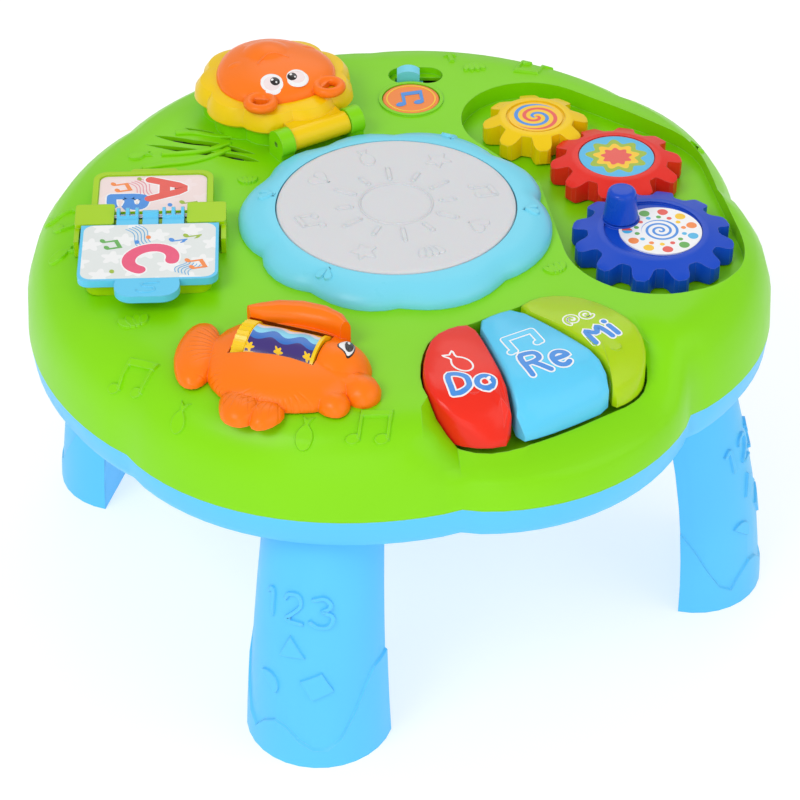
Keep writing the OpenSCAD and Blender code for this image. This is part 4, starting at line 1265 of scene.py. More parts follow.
    @staticmethod
    def spiral(turns: float, pitch: float, start: float = 1.0, steps: int = 20) -> Outline:
        """Draws a spiral of some turns, with a number of steps in each."""
        rows = [(start + pitch * k / steps, k * math.tau / steps) for k in range(int(turns * steps) + 1)]
        return [(r * math.cos(a), r * math.sin(a)) for r, a in rows]

    @staticmethod
    def motif(kind: Motif, size: float) -> list[Outline]:
        """Draws one of the common motifs.

        Args:
            kind: Which motif.
            size: Its size in millimetres.

        Returns:
            Its outlines.
        """
        if kind is Motif.STAR:
            return [Stencil.star(size)]
        if kind is Motif.DOT:
            return [Stencil.ellipse(0, 0, size, size * 0.75, 0, 18)]
        drawn = {Motif.NOTE: Stencil.note, Motif.QUAVER: Stencil.quaver, Motif.FISH: Stencil.fish,
                 Motif.SHELL: Stencil.shell, Motif.ARROW: Stencil.arrow, Motif.HEART: Stencil.heart}
        return drawn[kind](size)


GLYPHS: dict[str, tuple[float, list[Outline]]] = {
    "A": (0.84, [[(0.0, 0.0), (0.40, 1.0), (0.80, 0.0)], [(0.16, 0.34), (0.64, 0.34)]]),
    "B": (0.72, [[(0.0, 0.0), (0.0, 1.0), (0.34, 1.0), (0.58, 0.92), (0.60, 0.64), (0.36, 0.53), (0.0, 0.53)],
                 [(0.36, 0.53), (0.68, 0.44), (0.70, 0.10), (0.40, 0.0), (0.0, 0.0)]]),
    "C": (0.86, [Stencil.arc(0.43, 0.5, 0.42, 0.5, 52, 308)]),
    "D": (0.74, [[(0.0, 0.0), (0.0, 1.0), (0.34, 1.0), (0.66, 0.78), (0.70, 0.5), (0.66, 0.22), (0.34, 0.0),
                  (0.0, 0.0)]]),
    "R": (0.70, [[(0.0, 0.0), (0.0, 1.0), (0.36, 1.0), (0.60, 0.92), (0.62, 0.62), (0.36, 0.52), (0.0, 0.52)],
                 [(0.28, 0.52), (0.66, 0.0)]]),
    "M": (0.88, [[(0.0, 0.0), (0.10, 1.0), (0.43, 0.36), (0.76, 1.0), (0.86, 0.0)]]),
    "o": (0.62, [Stencil.arc(0.31, 0.31, 0.29, 0.31, 0, 360)]),
    "e": (0.60, [[(0.04, 0.34), (0.55, 0.36)] + Stencil.arc(0.30, 0.32, 0.27, 0.32, 20, 310, 14)]),
    "i": (0.20, [[(0.08, 0.0), (0.08, 0.60)], [(0.08, 0.90), (0.08, 0.93)]]),
    "1": (0.42, [[(0.02, 0.76), (0.24, 1.0), (0.24, 0.0)]]),
    "2": (0.66, [[(0.03, 0.78), (0.12, 1.0), (0.50, 1.04), (0.62, 0.66), (0.36, 0.36), (0.02, 0.0),
                  (0.64, 0.0)]]),
    "3": (0.64, [[(0.04, 0.94), (0.40, 1.08), (0.62, 0.72), (0.26, 0.54), (0.68, 0.44), (0.60, 0.0),
                  (0.26, -0.06), (0.0, 0.12)]]),
}


@dataclass
class Kit:
    """What every sub-assembly shares: putting pieces on bodies and dressing them."""

    body: str = "shell"

    def dress(self, finish: Finish, *nodes: str) -> None:
        """Gives CAD nodes a finish.

        Args:
            finish: The finish.
            *nodes: The nodes' names.
        """
        for name in nodes:
            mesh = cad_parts[name].data
            mesh.materials.clear()
            mesh.materials.append(finish.material())
            log.info("dressed %s in %s", name, finish.name)

    def refine(self, node: str, slot: str, finish: Finish, crease: float, weighted: bool = False) -> Object:
        """Makes a merged, smoothly shaded piece of a CAD node's form, which stands for the node.

        Args:
            node: The node.
            slot: A material slot's name; not used.
            finish: The finish.
            crease: The angle that stays sharp, in degrees.
            weighted: Whether large faces keep their own flatness.

        Returns:
            The piece.
        """
        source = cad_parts[node]
        piece = bpy.data.objects.new(f"{node}_moulding", source.data.copy())
        bpy.context.scene.collection.objects.link(piece)
        Bench.smooth(piece, crease, weighted)
        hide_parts(node)
        return self.hand_over(piece, slot, finish)

    def hand_over(self, piece: Object, slot: str, finish: Finish) -> Object:
        """Args:
            piece: The piece.
            slot: A material slot's name; not used.
            finish: The finish.

        Returns:
            The piece.
        """
        piece.data.materials.clear()
        piece.data.materials.append(finish.material())
        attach(piece, self.body)
        log.info("%s: %d faces on %s", piece.name, len(piece.data.polygons), self.body)
        return piece

    def raise_flats(self, name: str, flats: list[Object], where: Matrix, target: Object, height: float,
                    slot: str, finish: Finish, step: float, slope: float) -> Object:
        """Lays flat shapes on a surface and raises them, each a hair higher than the one before.

        Args:
            name: The piece's name.
            flats: The flat shapes.
            where: The frame on the surface.
            target: The surface.
            height: How far they stand proud, in millimetres.
            slot: A material slot's name; not used.
            finish: The finish; moulded forms get sloping edges, printed ones are thin films.
            step: The squares they are cut into on a curved surface, or zero.
            slope: The sloping edge's width in millimetres.

        Returns:
            The piece.
        """
        moulded = isinstance(finish, Moulded)
        laid = []
        for k, flat in enumerate(flats):
            level = height + k % LEVELS * (MOULDED_STEP if moulded else PRINT_STEP)
            if moulded:
                Bench.shoulder(flat, slope)
            Bench.lay(flat, where, target, step)
            laid.append(Bench.swell(flat, level) if moulded else Bench.thicken(flat, level, FILM))
        return self.hand_over(Bench.join(laid, name), slot, finish)

    def relief(self, name: str, shapes: list[Outline], where: Matrix, target: Object, height: float, slot: str,
               finish: Finish, step: float = 0.0, slope: float = SLOPE) -> Object:
        """Raises flat shapes on a surface."""
        flats = [Bench.panel(shape) for shape in shapes]
        return self.raise_flats(name, flats, where, target, height, slot, finish, step, slope)

    def strokes(self, name: str, paths: list[Outline], width: float, where: Matrix, target: Object,
                height: float, slot: str, finish: Finish, closed: bool = False, step: float = 0.0) -> Object:
        """Raises strokes of one width on a surface."""
        flats = [flat for path in paths for flat in Bench.ribbon(path, width, closed)]
        slope = min(SLOPE, width * 0.3)
        return self.raise_flats(name, flats, where, target, height, slot, finish, step, slope)

    @staticmethod
    def letters(word: str, height: float, gap: float = 0.24) -> list[Outline]:
        """Writes plain round letters as strokes, centred.

        Args:
            word: The letters or figures.
            height: The height of a capital in millimetres.
            gap: The space between them, as a share of the height.

        Returns:
            The strokes' middles.
        """
        pen = 0.0
        paths: list[Outline] = []
        for glyph in word:
            wide, strokes = GLYPHS[glyph]
            for stroke in strokes:
                paths.append([((pen + x) * height, (y - 0.5) * height) for x, y in Stencil.soft(stroke)])
            pen += wide + gap
        middle = (pen - gap) * height / 2
        return [[(x - middle, y) for x, y in path] for path in paths]


# Finishes of this table

GREEN = Moulded("green_shell", Tint.LEAF, shine=0.36)
BLUE = Moulded("blue_base", Tint.SKY, shine=0.38, drift=0.03)
RIM = Moulded("rim_plastic", Tint.RIM, shine=0.30, gloss_coat=0.2)
PEARL = Moulded("pearl_head", Tint.PEARL, shine=0.42, drift=0.015, grain=0.2, gloss_coat=0.05, glow=0.15)
STEEL = Drawn("drawn_steel")
RUBBER = Matt("black_rubber", Tint.GRAPHITE, rough=0.75)
WHITE_INK = Ink("white_ink", Tint.WHITE)
BLACK_INK = Ink("black_ink", Tint.INK, shine=0.22)
BLUE_INK = Ink("blue_ink", Tint.PRINT_BLUE)
BLUSH_INK = Ink("eye_blush", Tint.BLUSH, shine=0.25)


def print_of(tint: Tint) -> Ink:
    """Gives the plain ink of a tint."""
    return Ink(f"{tint.name.lower()}_print", tint)


@dataclass
class Housing(Kit):
    """The green deck shell and blue base, with the raised motifs of the deck and round ribs across the grille.
    """

    ribs: tuple[tuple[Point, ...], ...] = (
        ((-137, 48), (-126, 52), (-113, 54), (-101, 60), (-92, 68)),
        ((-128, 62), (-116, 63), (-103, 66), (-92, 74)),
        ((-122, 83), (-112, 84), (-101, 80), (-91, 80)))
    stamps: tuple[tuple[Motif, tuple[tuple[float, float, float, float], ...]], ...] = (
        (Motif.NOTE, ((-172.5, 3.5, 22, -70), (-128.6, -123.5, 21, -35), (-14.5, -166.5, 20, -8),
                      (72, 154, 18, 160))),
        (Motif.FISH, ((-171.5, -28.0, 15, -60), (-104.4, -150.5, 16, -30), (-45.3, -168.5, 17, -12),
                      (-139, 61, 13, -70))),
        (Motif.SHELL, ((-130.4, -87.9, 17, 20), (76, -43, 14, 30), (39.6, 152, 14, 190),
                       (-80.9, 36.8, 12, 10))),
        (Motif.ARROW, ((26.5, 164, 12, 100), (155.4, 76, 14, -20))))
    rise: float = 1.2
    rib_width: float = 3.2
    rib_height: float = 2.4
    rib_edge: float = 1.1

    def build(self) -> None:
        """Makes the shells, the deck's motifs and the ribs across the grille."""
        deck = self.refine("top_shell", "shell_green", GREEN, crease=38)
        self.refine("lower_shell", "base_blue", BLUE, crease=38)
        for kind, places in self.stamps:
            for k, (x, y, size, turn) in enumerate(places):
                spot = Bench.over(deck, x, y, turn)
                self.relief(f"deck_{kind.value}_{k + 1}", Stencil.motif(kind, size), spot, deck, self.rise,
                            "shell_green", GREEN, step=2.0, slope=0.6)
        for k, path in enumerate(self.ribs):
            self.rib(k, Stencil.soft(list(path)), deck)

    def rib(self, k: int, path: Outline, deck: Object) -> None:
        """Raises one round rib across the grille.

        Args:
            k: The rib's number.
            path: Its middle in millimetres.
            deck: The deck.
        """
        level = Bench.over(deck, *path[0]).translation.z - self.rib_height / 2 * MM
        flat, *ends = Bench.ribbon(path, self.rib_width)
        for end in ends:
            Bench.only(end)
            bpy.ops.object.delete()
        Bench.edit(flat, chosen=True)
        bpy.ops.mesh.extrude_region_move(TRANSFORM_OT_translate={"value": (0, 0, self.rib_height * MM)})
        bpy.ops.mesh.select_all(action="SELECT")
        bpy.ops.transform.translate(value=(0, 0, level))
        bpy.ops.mesh.normals_make_consistent(inside=False)
        Bench.done()
        Bench.modify(flat, "BEVEL", width=self.rib_edge * MM, segments=4, limit_method="ANGLE",
                     angle_limit=math.radians(60))
        flat.name = f"grille_rib_{k + 1}"
        self.hand_over(Bench.smooth(flat, 50), "shell_green", GREEN)


@dataclass
class LegSet(Kit):
    """Four hollow legs with raised figures and shapes on their outer faces."""

    turns: tuple[tuple[str, float], ...] = (
        ("right", -15.1), ("back", 74.9), ("left", 164.9), ("front", -105.1))
    figures: float = 15.0
    stroke: float = 2.4
    rise: float = 1.3
    step: float = 2.5
    reach: float = 162.0
    lean: float = 19.0
    length: float = 134.0

    def build(self) -> None:
        """Makes each leg and its emblems."""
        emblems = (("triangle", Stencil.star(8.2, 3), -9, 69, 8),
                   ("half_round", Stencil.arc(0, -3, 7, 7, 0, 180, 16), -28, 47, -40),
                   ("square", [(-6.2, -6.2), (6.2, -6.2), (6.2, 6.2), (-6.2, 6.2)], 14, 50, 28))
        for name, azimuth in self.turns:
            leg = self.refine(f"leg_{name}", "base_blue", BLUE, crease=40)
            self.strokes(f"leg_{name}_figures", self.letters("123", self.figures, 0.26), self.stroke,
                         self.side(leg, azimuth, -6, 92), leg, self.rise, "base_blue", BLUE, step=self.step)
            for label, shape, angle, height, turn in emblems:
                spot = self.side(leg, azimuth, angle, height)
                self.relief(f"leg_{name}_{label}", [Stencil.turned(shape, turn)], spot, leg, self.rise,
                            "base_blue", BLUE, step=self.step)

    def side(self, leg: Object, azimuth: float, angle: float, height: float) -> Matrix:
        """Finds a frame on a leg's outer face.

        Args:
            leg: The leg.
            azimuth: The leg's direction from the table's axis, in degrees.
            angle: How far round the leg, in degrees.
            height: The height above the floor in millimetres.

        Returns:
            The frame, its Y pointing up.
        """
        far = self.reach - self.lean * (height / self.length) ** 2
        a = math.radians(azimuth)
        middle = Vector((far * math.cos(a), far * math.sin(a), height)) * MM
        out = Vector((math.cos(math.radians(azimuth + angle)), math.sin(math.radians(azimuth + angle)), 0))
        return Bench.spot(leg, middle + out * 0.08, -out, (-out).cross(Vector((0, 0, 1))))


@dataclass
class Drum(Kit):
    """The lobed rim with raised hearts, and the drum head with its sun rays and motifs."""

    centre: Point = (-3.5, -1.0)
    hearts: tuple[tuple[float, float, float], ...] = (
        (24.9, 69.0, 20), (65.5, -3.8, -80), (-70.6, 9.4, 80), (-38.3, -60.4, 150))
    heart: float = 9.5
    motifs: tuple[tuple[float, Motif, float], ...] = (
        (15, Motif.NOTE, 13), (62, Motif.STAR, 7.5), (110, Motif.FISH, 15), (150, Motif.HEART, 12),
        (200, Motif.NOTE, 13), (250, Motif.STAR, 7.5), (292, Motif.SHELL, 15), (335, Motif.HEART, 12))
    motif_ring: float = 46.0
    rays: int = 12
    ray_ends: tuple[float, float, float] = (23.0, 30.0, 33.0)
    face: float = 18.5
    rise: float = 0.7

    def build(self) -> None:
        """Makes the rim, its hearts, and the head's low relief."""
        rim = self.refine("drum_rim", "rim_cyan", RIM, crease=40)
        for k, (x, y, turn) in enumerate(self.hearts):
            spot = Bench.over(rim, x, y, turn)
            self.relief(f"rim_heart_{k + 1}", Stencil.heart(self.heart), spot, rim, 1.2, "rim_cyan", RIM,
                        step=1.6, slope=0.6)
        self.body = "head"
        head = self.refine("drum_head", "head_white", PEARL, crease=35, weighted=True)
        place = Bench.over(head, *self.centre)
        near, low, high = self.ray_ends
        rays = []
        for k in range(self.rays):
            ray = [(near, 0.0), (high if k % 2 else low, 0.0)]
            rays.append(Stencil.turned(ray, k * 360 / self.rays + 8))
        self.strokes("head_rays", rays, 2.6, place, head, self.rise, "head_white", PEARL)
        face = Stencil.ellipse(0, 0, self.face, self.face, 0, 60)
        self.strokes("head_ring", [face], 1.2, place, head, self.rise, "head_white", PEARL, closed=True)
        for k, (angle, kind, size) in enumerate(self.motifs):
            x, y = Stencil.turned([(self.motif_ring, 0.0)], angle, 1.0, self.centre)[0]
            spot = Bench.over(head, x, y, angle - 90)
            self.relief(f"head_{kind.value}_{k + 1}", Stencil.motif(kind, size), spot, head, self.rise,
                        "head_white", PEARL)
        self.dress(STEEL, "drum_springs")
        self.dress(RUBBER, "drum_switch")


@dataclass
class GearTrain(Kit):
    """Three meshing gears with their labels, and the crank knob on its pin."""

    label_at: Point = (130.0, -14.7)
    middle: Point = (112.38, 54.68)
    small: Point = (71.40, 94.26)
    stars: tuple[tuple[float, Tint], ...] = (
        (14.6, Tint.PRINT_OLIVE), (11.0, Tint.AMBER), (7.4, Tint.PRINT_RED))

    def build(self) -> None:
        """Dresses the gears, labels and knob."""
        rows = (("crank_gear", "gear_blue", Tint.ROYAL), ("mid_gear", "gear_red", Tint.CHERRY),
                ("small_gear", "gear_yellow", Tint.SUN))
        for body, node, tint in rows:
            self.body = body
            self.refine(node, node, Moulded(f"{node}_plastic", tint, 0.30, gloss_coat=0.2), 25, weighted=True)
        self.dress(DottedSwirl("dotted_label", Tint.WHITE, centre=self.label_at), "label_blue")
        starred = NestedStars("starred_label", Tint.SKY_PRINT, centre=self.middle, layers=self.stars)
        self.dress(starred, "label_red")
        self.dress(SwirlLabel("swirl_label", Tint.AMBER, centre=self.small), "label_yellow")
        self.dress(STEEL, "gear_screws", "crank_pin")
        self.body = "knob"
        self.refine("crank_knob", "gear_blue", Moulded("knob_plastic", Tint.ROYAL, 0.27, gloss_coat=0.3), 40)


@dataclass(frozen=True)
class KeyPlan:
    """One key: its colour, syllable and motif, and where these stand on the deck."""

    name: str
    tint: Tint
    slot: str
    word: str
    place: Point
    turn: float
    size: float
    icon_at: Point
    icon: Motif


@dataclass
class KeySet(Kit):
    """Three keys with their printed syllables and outlined motifs."""

    plans: tuple[KeyPlan, ...] = (
        KeyPlan("red", Tint.KEY_RED, "key_red", "Do", (31.6, -138.0), 15.0, 13.2, (26.0, -123.6), Motif.FISH),
        KeyPlan("blue", Tint.KEY_CYAN, "key_cyan", "Re", (67.4, -121.2), 27.0, 15.0, (57.2, -107.6),
                Motif.NOTE),
        KeyPlan("lime", Tint.KEY_LIME, "key_lime", "Mi", (94.6, -99.4), 36.0, 11.8, (84.6, -88.6),
                Motif.SWIRL))
    border: float = 4.4
    stroke: float = 2.7
    outline: float = 1.5
    step: float = 3.0
    note: tuple[tuple[Point, Point], ...] = (
        ((-7.5, -5.0), (-7.5, 5.0)), ((-7.5, 5.0), (7.5, 5.6)), ((7.5, 5.6), (7.5, -3.6)),
        ((-9.6, -5.4), (-8.2, -5.0)), ((5.4, -4.0), (6.8, -3.6)))

    def build(self) -> None:
        """Makes the keys and their prints."""
        for plan in self.plans:
            self.body = f"{plan.name}_key"
            finish = Moulded(f"{self.body}_plastic", plan.tint, 0.24, drift=0.05, gloss_coat=0.35, glow=0.08)
            key = self.refine(f"key_{plan.name}", plan.slot, finish, crease=40)
            spot = Bench.over(key, *plan.place, plan.turn)
            paths = self.letters(plan.word, plan.size, 0.2)
            for label, width, height, ink in (("border", self.border, 0.12, WHITE_INK),
                                              ("letters", self.stroke, 0.22, BLUE_INK)):
                self.strokes(f"{self.body}_{label}", paths, width, spot, key, height, plan.slot, ink,
                             step=self.step)
            self.icon(plan, key, finish)
        self.dress(RUBBER, "key_pad_red", "key_pad_blue", "key_pad_lime")
        self.body = "shell"
        self.dress(STEEL, "key_pins")

    def icon(self, plan: KeyPlan, key: Object, ground: Moulded) -> None:
        """Prints a key's motif as a white outline.

        Args:
            plan: The key's plan.
            key: The key.
            ground: The key's finish, which shows inside the outline.
        """
        name = f"{self.body}_{plan.icon.value}"
        spot = Bench.over(key, *plan.icon_at, plan.turn)
        if plan.icon is Motif.FISH:
            loop = Stencil.turned(Stencil.soft(Stencil.fish(17)[0], 1, True), 25)
            self.strokes(name, [loop], 0.9, spot, key, 0.14, plan.slot, WHITE_INK, closed=True, step=self.step)
            return
        paths, width = list(self.note), 3.0
        if plan.icon is Motif.SWIRL:
            paths = [Stencil.turned(Stencil.spiral(1.5, 2.3, 0.6), 40, 1.0, (-3.4, 0.6)),
                     Stencil.turned(Stencil.spiral(1.3, 2.1, 0.6), 210, 1.0, (4.6, 0.0))]
            width = 1.1
        inner = Ink(f"{ground.name}_print", ground.tint, ground.shine)
        outer = width + self.outline
        self.strokes(f"{name}_outline", paths, outer, spot, key, 0.10, plan.slot, WHITE_INK, step=self.step)
        self.strokes(name, paths, width, spot, key, 0.2, plan.slot, inner, step=self.step)


@dataclass
class FaceLid(Kit):
    """The hinged lid: a lobed mane and an orange animal face with round ears, eyes and a muzzle."""

    body: str = "lid"
    eyes: tuple[tuple[float, float, float, float], ...] = ((-69.6, 87.6, 1.5, 0.8), (-56.6, 93.8, -2.0, 0.2))
    cheeks: tuple[Point, ...] = ((-89.7, 106.9), (-51.7, 128.2))
    muzzle: Point = (-69.0, 106.5)
    turn: float = 25.0

    def build(self) -> None:
        """Makes the mane, face and eyes."""
        orange = Moulded("face_plastic", Tint.FACE, shine=0.33, gloss_coat=0.15)
        self.refine("lid_mane", "gear_yellow", Moulded("mane_plastic", Tint.SUN, 0.32, gloss_coat=0.15), 36)
        face = self.refine("lid_face", "face_orange", orange, crease=42)
        for k, (x, y, px, py) in enumerate(self.eyes):
            spot = Bench.over(face, x, y, 12)
            for name, shift, size, ink in (
                    ("eye_rim", (0, 0, 0), (6.5, 7.4, 0.55), WHITE_INK),
                    ("eye", (0, 0, 0), (6.0, 6.8, 0.9), BLUSH_INK),
                    ("pupil", (px, py, 0.35), (3.3, 3.8, 0.9), BLACK_INK),
                    # The glint and spark are painted highlights: small white domes on each pupil.
                    ("glint", (px - 0.9, py + 1.2, 0.9), (0.9, 1.0, 0.45), WHITE_INK),
                    ("spark", (px + 0.9, py - 0.9, 1.0), (0.6, 0.7, 0.3), WHITE_INK)):
                place = spot @ Matrix.Translation(Vector(shift) * MM)
                self.hand_over(Bench.dome(f"{name}_{k + 1}", place, *size), "face_orange", ink)
        for k, (x, y) in enumerate(self.cheeks):
            cheek = Bench.dome(f"cheek_{k + 1}", Bench.over(face, x, y, self.turn), 5.5, 4.2, 0.9, 1.2)
            self.hand_over(cheek, "face_orange", orange)
        mouth = Stencil.arc(0, -2.0, 9.5, 8.0, 25, 155)
        spot = Bench.over(face, *self.muzzle, self.turn)
        self.strokes("muzzle_line", [mouth], 1.3, spot, face, 0.5, "face_orange", orange, step=2.0)
        self.body = "shell"
        self.dress(STEEL, "lid_pin")


@dataclass
class Book(Kit):
    """The tray with its printed sheet and the blue page with its own, on a steel pin."""

    hinge: Point = (-127.5, -10.0)
    turn: float = 2.5
    tray_print: float = 203.6
    page_print: float = 209.2
    tray_marks: tuple[tuple[float, float, Motif, Tint], ...] = (
        (-16.5, 33, Motif.NOTE, Tint.PRINT_ORANGE), (18.5, 17.5, Motif.QUAVER, Tint.PRINT_OLIVE),
        (-7.4, 40.3, Motif.DOT, Tint.PRINT_OLIVE), (9.0, 15.5, Motif.DOT, Tint.PRINT_BLUE))
    page_marks: tuple[tuple[float, float, Motif, Tint], ...] = (
        (-19.0, -27.0, Motif.NOTE, Tint.PRINT_GREEN), (14.5, -24.5, Motif.QUAVER, Tint.PRINT_BLUE),
        (21.5, -21.0, Motif.QUAVER, Tint.PRINT_OLIVE), (23.5, -45.5, Motif.NOTE, Tint.PRINT_ORANGE),
        (-17.5, -50.5, Motif.DOT, Tint.PRINT_OLIVE), (-6.0, -25.5, Motif.DOT, Tint.PRINT_BLUE),
        (-0.5, -21.5, Motif.DOT, Tint.PRINT_ORANGE))
    mark_sizes: tuple[tuple[Motif, float], ...] = ((Motif.NOTE, 9.5), (Motif.QUAVER, 9.0), (Motif.DOT, 1.6))

    def at(self, x: float, y: float, z: float, turn: float = 0.0) -> Matrix:
        """Gives a frame in the book's own coordinates.

        Args:
            x: Along the hinge, in millimetres.
            y: Away from the hinge.
            z: The height above the floor.
            turn: The frame's turn in degrees.

        Returns:
            The frame.
        """
        made = Matrix()
        for at, angle in (((*self.hinge, 0), self.turn), ((x, y, z), turn)):
            made = made @ Matrix.Translation(Vector(at) * MM) @ Matrix.Rotation(math.radians(angle), 4, "Z")
        return made

    def build(self) -> None:
        """Makes the tray and page with their sheets and prints."""
        lime = Moulded("book_plastic", Tint.BOOK, shine=0.33, gloss_coat=0.15)
        blue = Moulded("page_plastic", Tint.PAGE, shine=0.30, gloss_coat=0.2)
        self.refine("book_tray", "book_lime", lime, crease=25, weighted=True)
        self.dress(STEEL, "book_pin")
        pink = StarredPaper("tray_paper", Tint.PAPER_PINK, second=Tint.BLUSH, centre=self.hinge,
                            turn=self.turn)
        sheet = self.sheet("tray_sheet", self.box(-27.6, 27.6, 10.4, 43.1, 4.5), self.tray_print + 0.02, pink)
        top = self.tray_print
        self.word("tray_letter_A", "A", 22, 5.4, sheet, self.at(9.5, 30, top, -90), Tint.PRINT_RED)
        self.word("tray_letter_B", "B", 17, 5.0, sheet, self.at(-12.5, 18, top, -90), Tint.PRINT_BLUE)
        self.staff("tray_staff", sheet, self.at(-6, 32, top, -60), Tint.STAFF_PINK, 15)
        self.marks("tray", sheet, top, self.tray_marks)
        self.body = "page"
        page = self.refine("book_page", "page_blue", blue, crease=25, weighted=True)
        slant = self.turn + 12
        grey = StarredPaper("page_paper", Tint.PAPER_GREY, second=Tint.WHITE, centre=self.hinge, turn=slant)
        top = self.page_print
        leaf = self.sheet("page_sheet", self.box(-33.0, 33.0, -56.6, -10.0, 5.5), top - 0.1, grey)
        self.word("page_letter_C", "C", 22.5, 6.6, leaf, self.at(1.2, -40.5, top, -64), Tint.PRINT_PINK)
        self.staff("page_staff_far", leaf, self.at(-5, -19.5, top, -62), Tint.STAFF_BLUE, 16)
        self.staff("page_staff_near", leaf, self.at(19, -49, top, 66), Tint.STAFF_BLUE, 10)
        self.marks("page", leaf, top, self.page_marks)
        hook = [(5.5, 4.0), (-2.5, 4.0), (-2.5, 1.0), (3.5, 0.5), (4.0, -3.5), (-3.0, -4.0), (-5.0, -2.0)]
        tab = self.at(0, -64.5, 209)
        self.strokes("page_tab_mark", [Stencil.soft(hook)], 1.3, tab, page, 0.5, "page_blue", blue)

    @staticmethod
    def box(x0: float, x1: float, y0: float, y1: float, r: float) -> Outline:
        """Draws a rectangle with round corners.

        Args:
            x0: Its left side.
            x1: Its right side.
            y0: Its near side.
            y1: Its far side.
            r: The corners' radius.

        Returns:
            The outline.
        """
        ring: Outline = []
        left, right, near, far = x0 + r, x1 - r, y0 + r, y1 - r
        for quarter, (x, y) in enumerate(((right, far), (left, far), (left, near), (right, near))):
            ring += Stencil.arc(x, y, r, r, quarter * 90, (quarter + 1) * 90, 7)
        return ring

    def sheet(self, name: str, outline: Outline, level: float, finish: Finish) -> Object:
        """Lays a printed sheet.

        Args:
            name: The piece's name.
            outline: Its outline in the book's own coordinates.
            level: The height of its face in millimetres.
            finish: Its print.

        Returns:
            The sheet.
        """
        flat = Bench.panel(outline, name)
        flat.matrix_world = self.at(0, 0, level)
        Bench.thicken(Bench.settle(flat), 0.0, 0.2)
        return self.hand_over(flat, "label_white", finish)

    def word(self, name: str, text: str, height: float, width: float, under: Object, where: Matrix,
             tint: Tint) -> None:
        """Prints a letter with a white border.

        Args:
            name: The piece's name.
            text: The letter.
            height: Its height in millimetres.
            width: Its strokes' width.
            under: The sheet.
            where: Its frame.
            tint: Its colour.
        """
        paths = self.letters(text, height)
        self.strokes(f"{name}_border", paths, width + 1.7, where, under, 0.06, "label_white", WHITE_INK)
        self.strokes(name, paths, width, where, under, 0.12, "label_white", print_of(tint))

    def staff(self, name: str, under: Object, where: Matrix, tint: Tint, length: float,
              steps: int = 16) -> None:
        """Prints five thin wavy lines.

        Args:
            name: The piece's name.
            under: The sheet.
            where: Their frame.
            tint: Their colour.
            length: Their length in millimetres.
            steps: How many steps each line has.
        """
        wave = [(length * i / steps, 1.6 * math.sin(i / steps * math.pi * 1.6)) for i in range(steps + 1)]
        rows = [[(x - length / 2, 1.8 * k + y) for x, y in wave] for k in range(-2, 3)]
        self.strokes(name, rows, 0.45, where, under, 0.05, "label_white", print_of(tint))

    def marks(self, name: str, under: Object, level: float,
              places: tuple[tuple[float, float, Motif, Tint], ...]) -> None:
        """Prints small notes and dots.

        Args:
            name: The start of the pieces' names.
            under: The sheet.
            level: The print's height above the floor in millimetres.
            places: Where each stands, its kind and its colour.
        """
        sizes = dict(self.mark_sizes)
        for k, (x, y, kind, tint) in enumerate(places):
            shapes = Stencil.motif(kind, sizes[kind])
            self.relief(f"{name}_{kind.value}_{k + 1}", shapes, self.at(x, y, level, -78), under, FILM,
                        "label_white", print_of(tint))


@dataclass
class Fish(Kit):
    """The orange fish with its printed roller, almond eye and grooved tail and fins."""

    roller: tuple[float, float, float] = (-58.0, -118.0, 195.0)
    turn: float = -19.5
    eye: Point = (-26.6, -125.8)
    almond: tuple[Point, ...] = (
        (-5.2, -0.8), (-1.2, 4.4), (0.8, 8.0), (3.4, 5.6), (4.2, 0.6), (3.2, -4.8), (0.8, -8.0), (-0.6, -4.8))
    fans: tuple[tuple[float, float, float, float, float, float], ...] = (
        (-80.0, -117.0, 11.0, 22.0, 11.0, 155.0), (-72.0, -140.0, 14.0, 25.0, 11.0, -135.0),
        (-58.0, -146.0, 12.0, 22.0, 12.0, -100.0))
    crease: float = 44.0

    def mend_ridge(self, fish: Object) -> None:
        """Closes the crest's flat ridge afresh with one clean strip of faces.

        Args:
            fish: The fish's body.
        """
        Bench.edit(fish, "FACE")
        Bench.done()
        top = max(vertex.co.z for vertex in fish.data.vertices)
        for face in fish.data.polygons:
            face.select = face.center.z > top - 0.2 * MM and abs(face.normal.z) > 0.99
        bpy.ops.object.mode_set(mode="EDIT")
        bpy.ops.mesh.delete(type="FACE")
        bpy.ops.mesh.select_mode(type="EDGE")
        bpy.ops.mesh.select_non_manifold()
        bpy.ops.mesh.fill(use_beauty=True)
        bpy.ops.mesh.select_all(action="SELECT")
        bpy.ops.mesh.normals_make_consistent(inside=False)
        Bench.done()
        Bench.smooth(fish, self.crease)

    def build(self) -> None:
        """Makes the body, eye and roller."""
        orange = Finned("fish_plastic", Tint.CARP, 0.33, gloss_coat=0.15, fans=self.fans)
        fish = self.refine("fish_body", "fish_orange", orange, self.crease)
        self.mend_ridge(fish)
        spot = Bench.over(fish, *self.eye)
        almond = Stencil.soft(list(self.almond), 2, True)
        for name, shape, height, ink in (
                ("fish_eye_border", Stencil.turned(almond, 0, 1.08), 0.15, BLACK_INK),
                ("fish_eye_white", Stencil.turned(almond, 0, 0.92), 0.4, WHITE_INK),
                ("fish_pupil", Stencil.ellipse(1.2, 0.5, 2.2, 4.9, -4), 0.65, BLACK_INK),
                # The glint is a painted highlight: a white spot on the pupil.
                ("fish_glint", Stencil.ellipse(0.9, 2.6, 0.7, 1.3), 0.85, WHITE_INK)):
            self.relief(name, [shape], spot, fish, height, "fish_orange", ink, step=1.0)
        self.dress(STEEL, "roller_axle")
        self.body = "roller"
        wrap = SeaPrint("roller_print", Tint.SUN, shine=0.24, centre=self.roller, turn=self.turn)
        self.refine("fish_roller", "roller_yellow", wrap, crease=25, weighted=True)


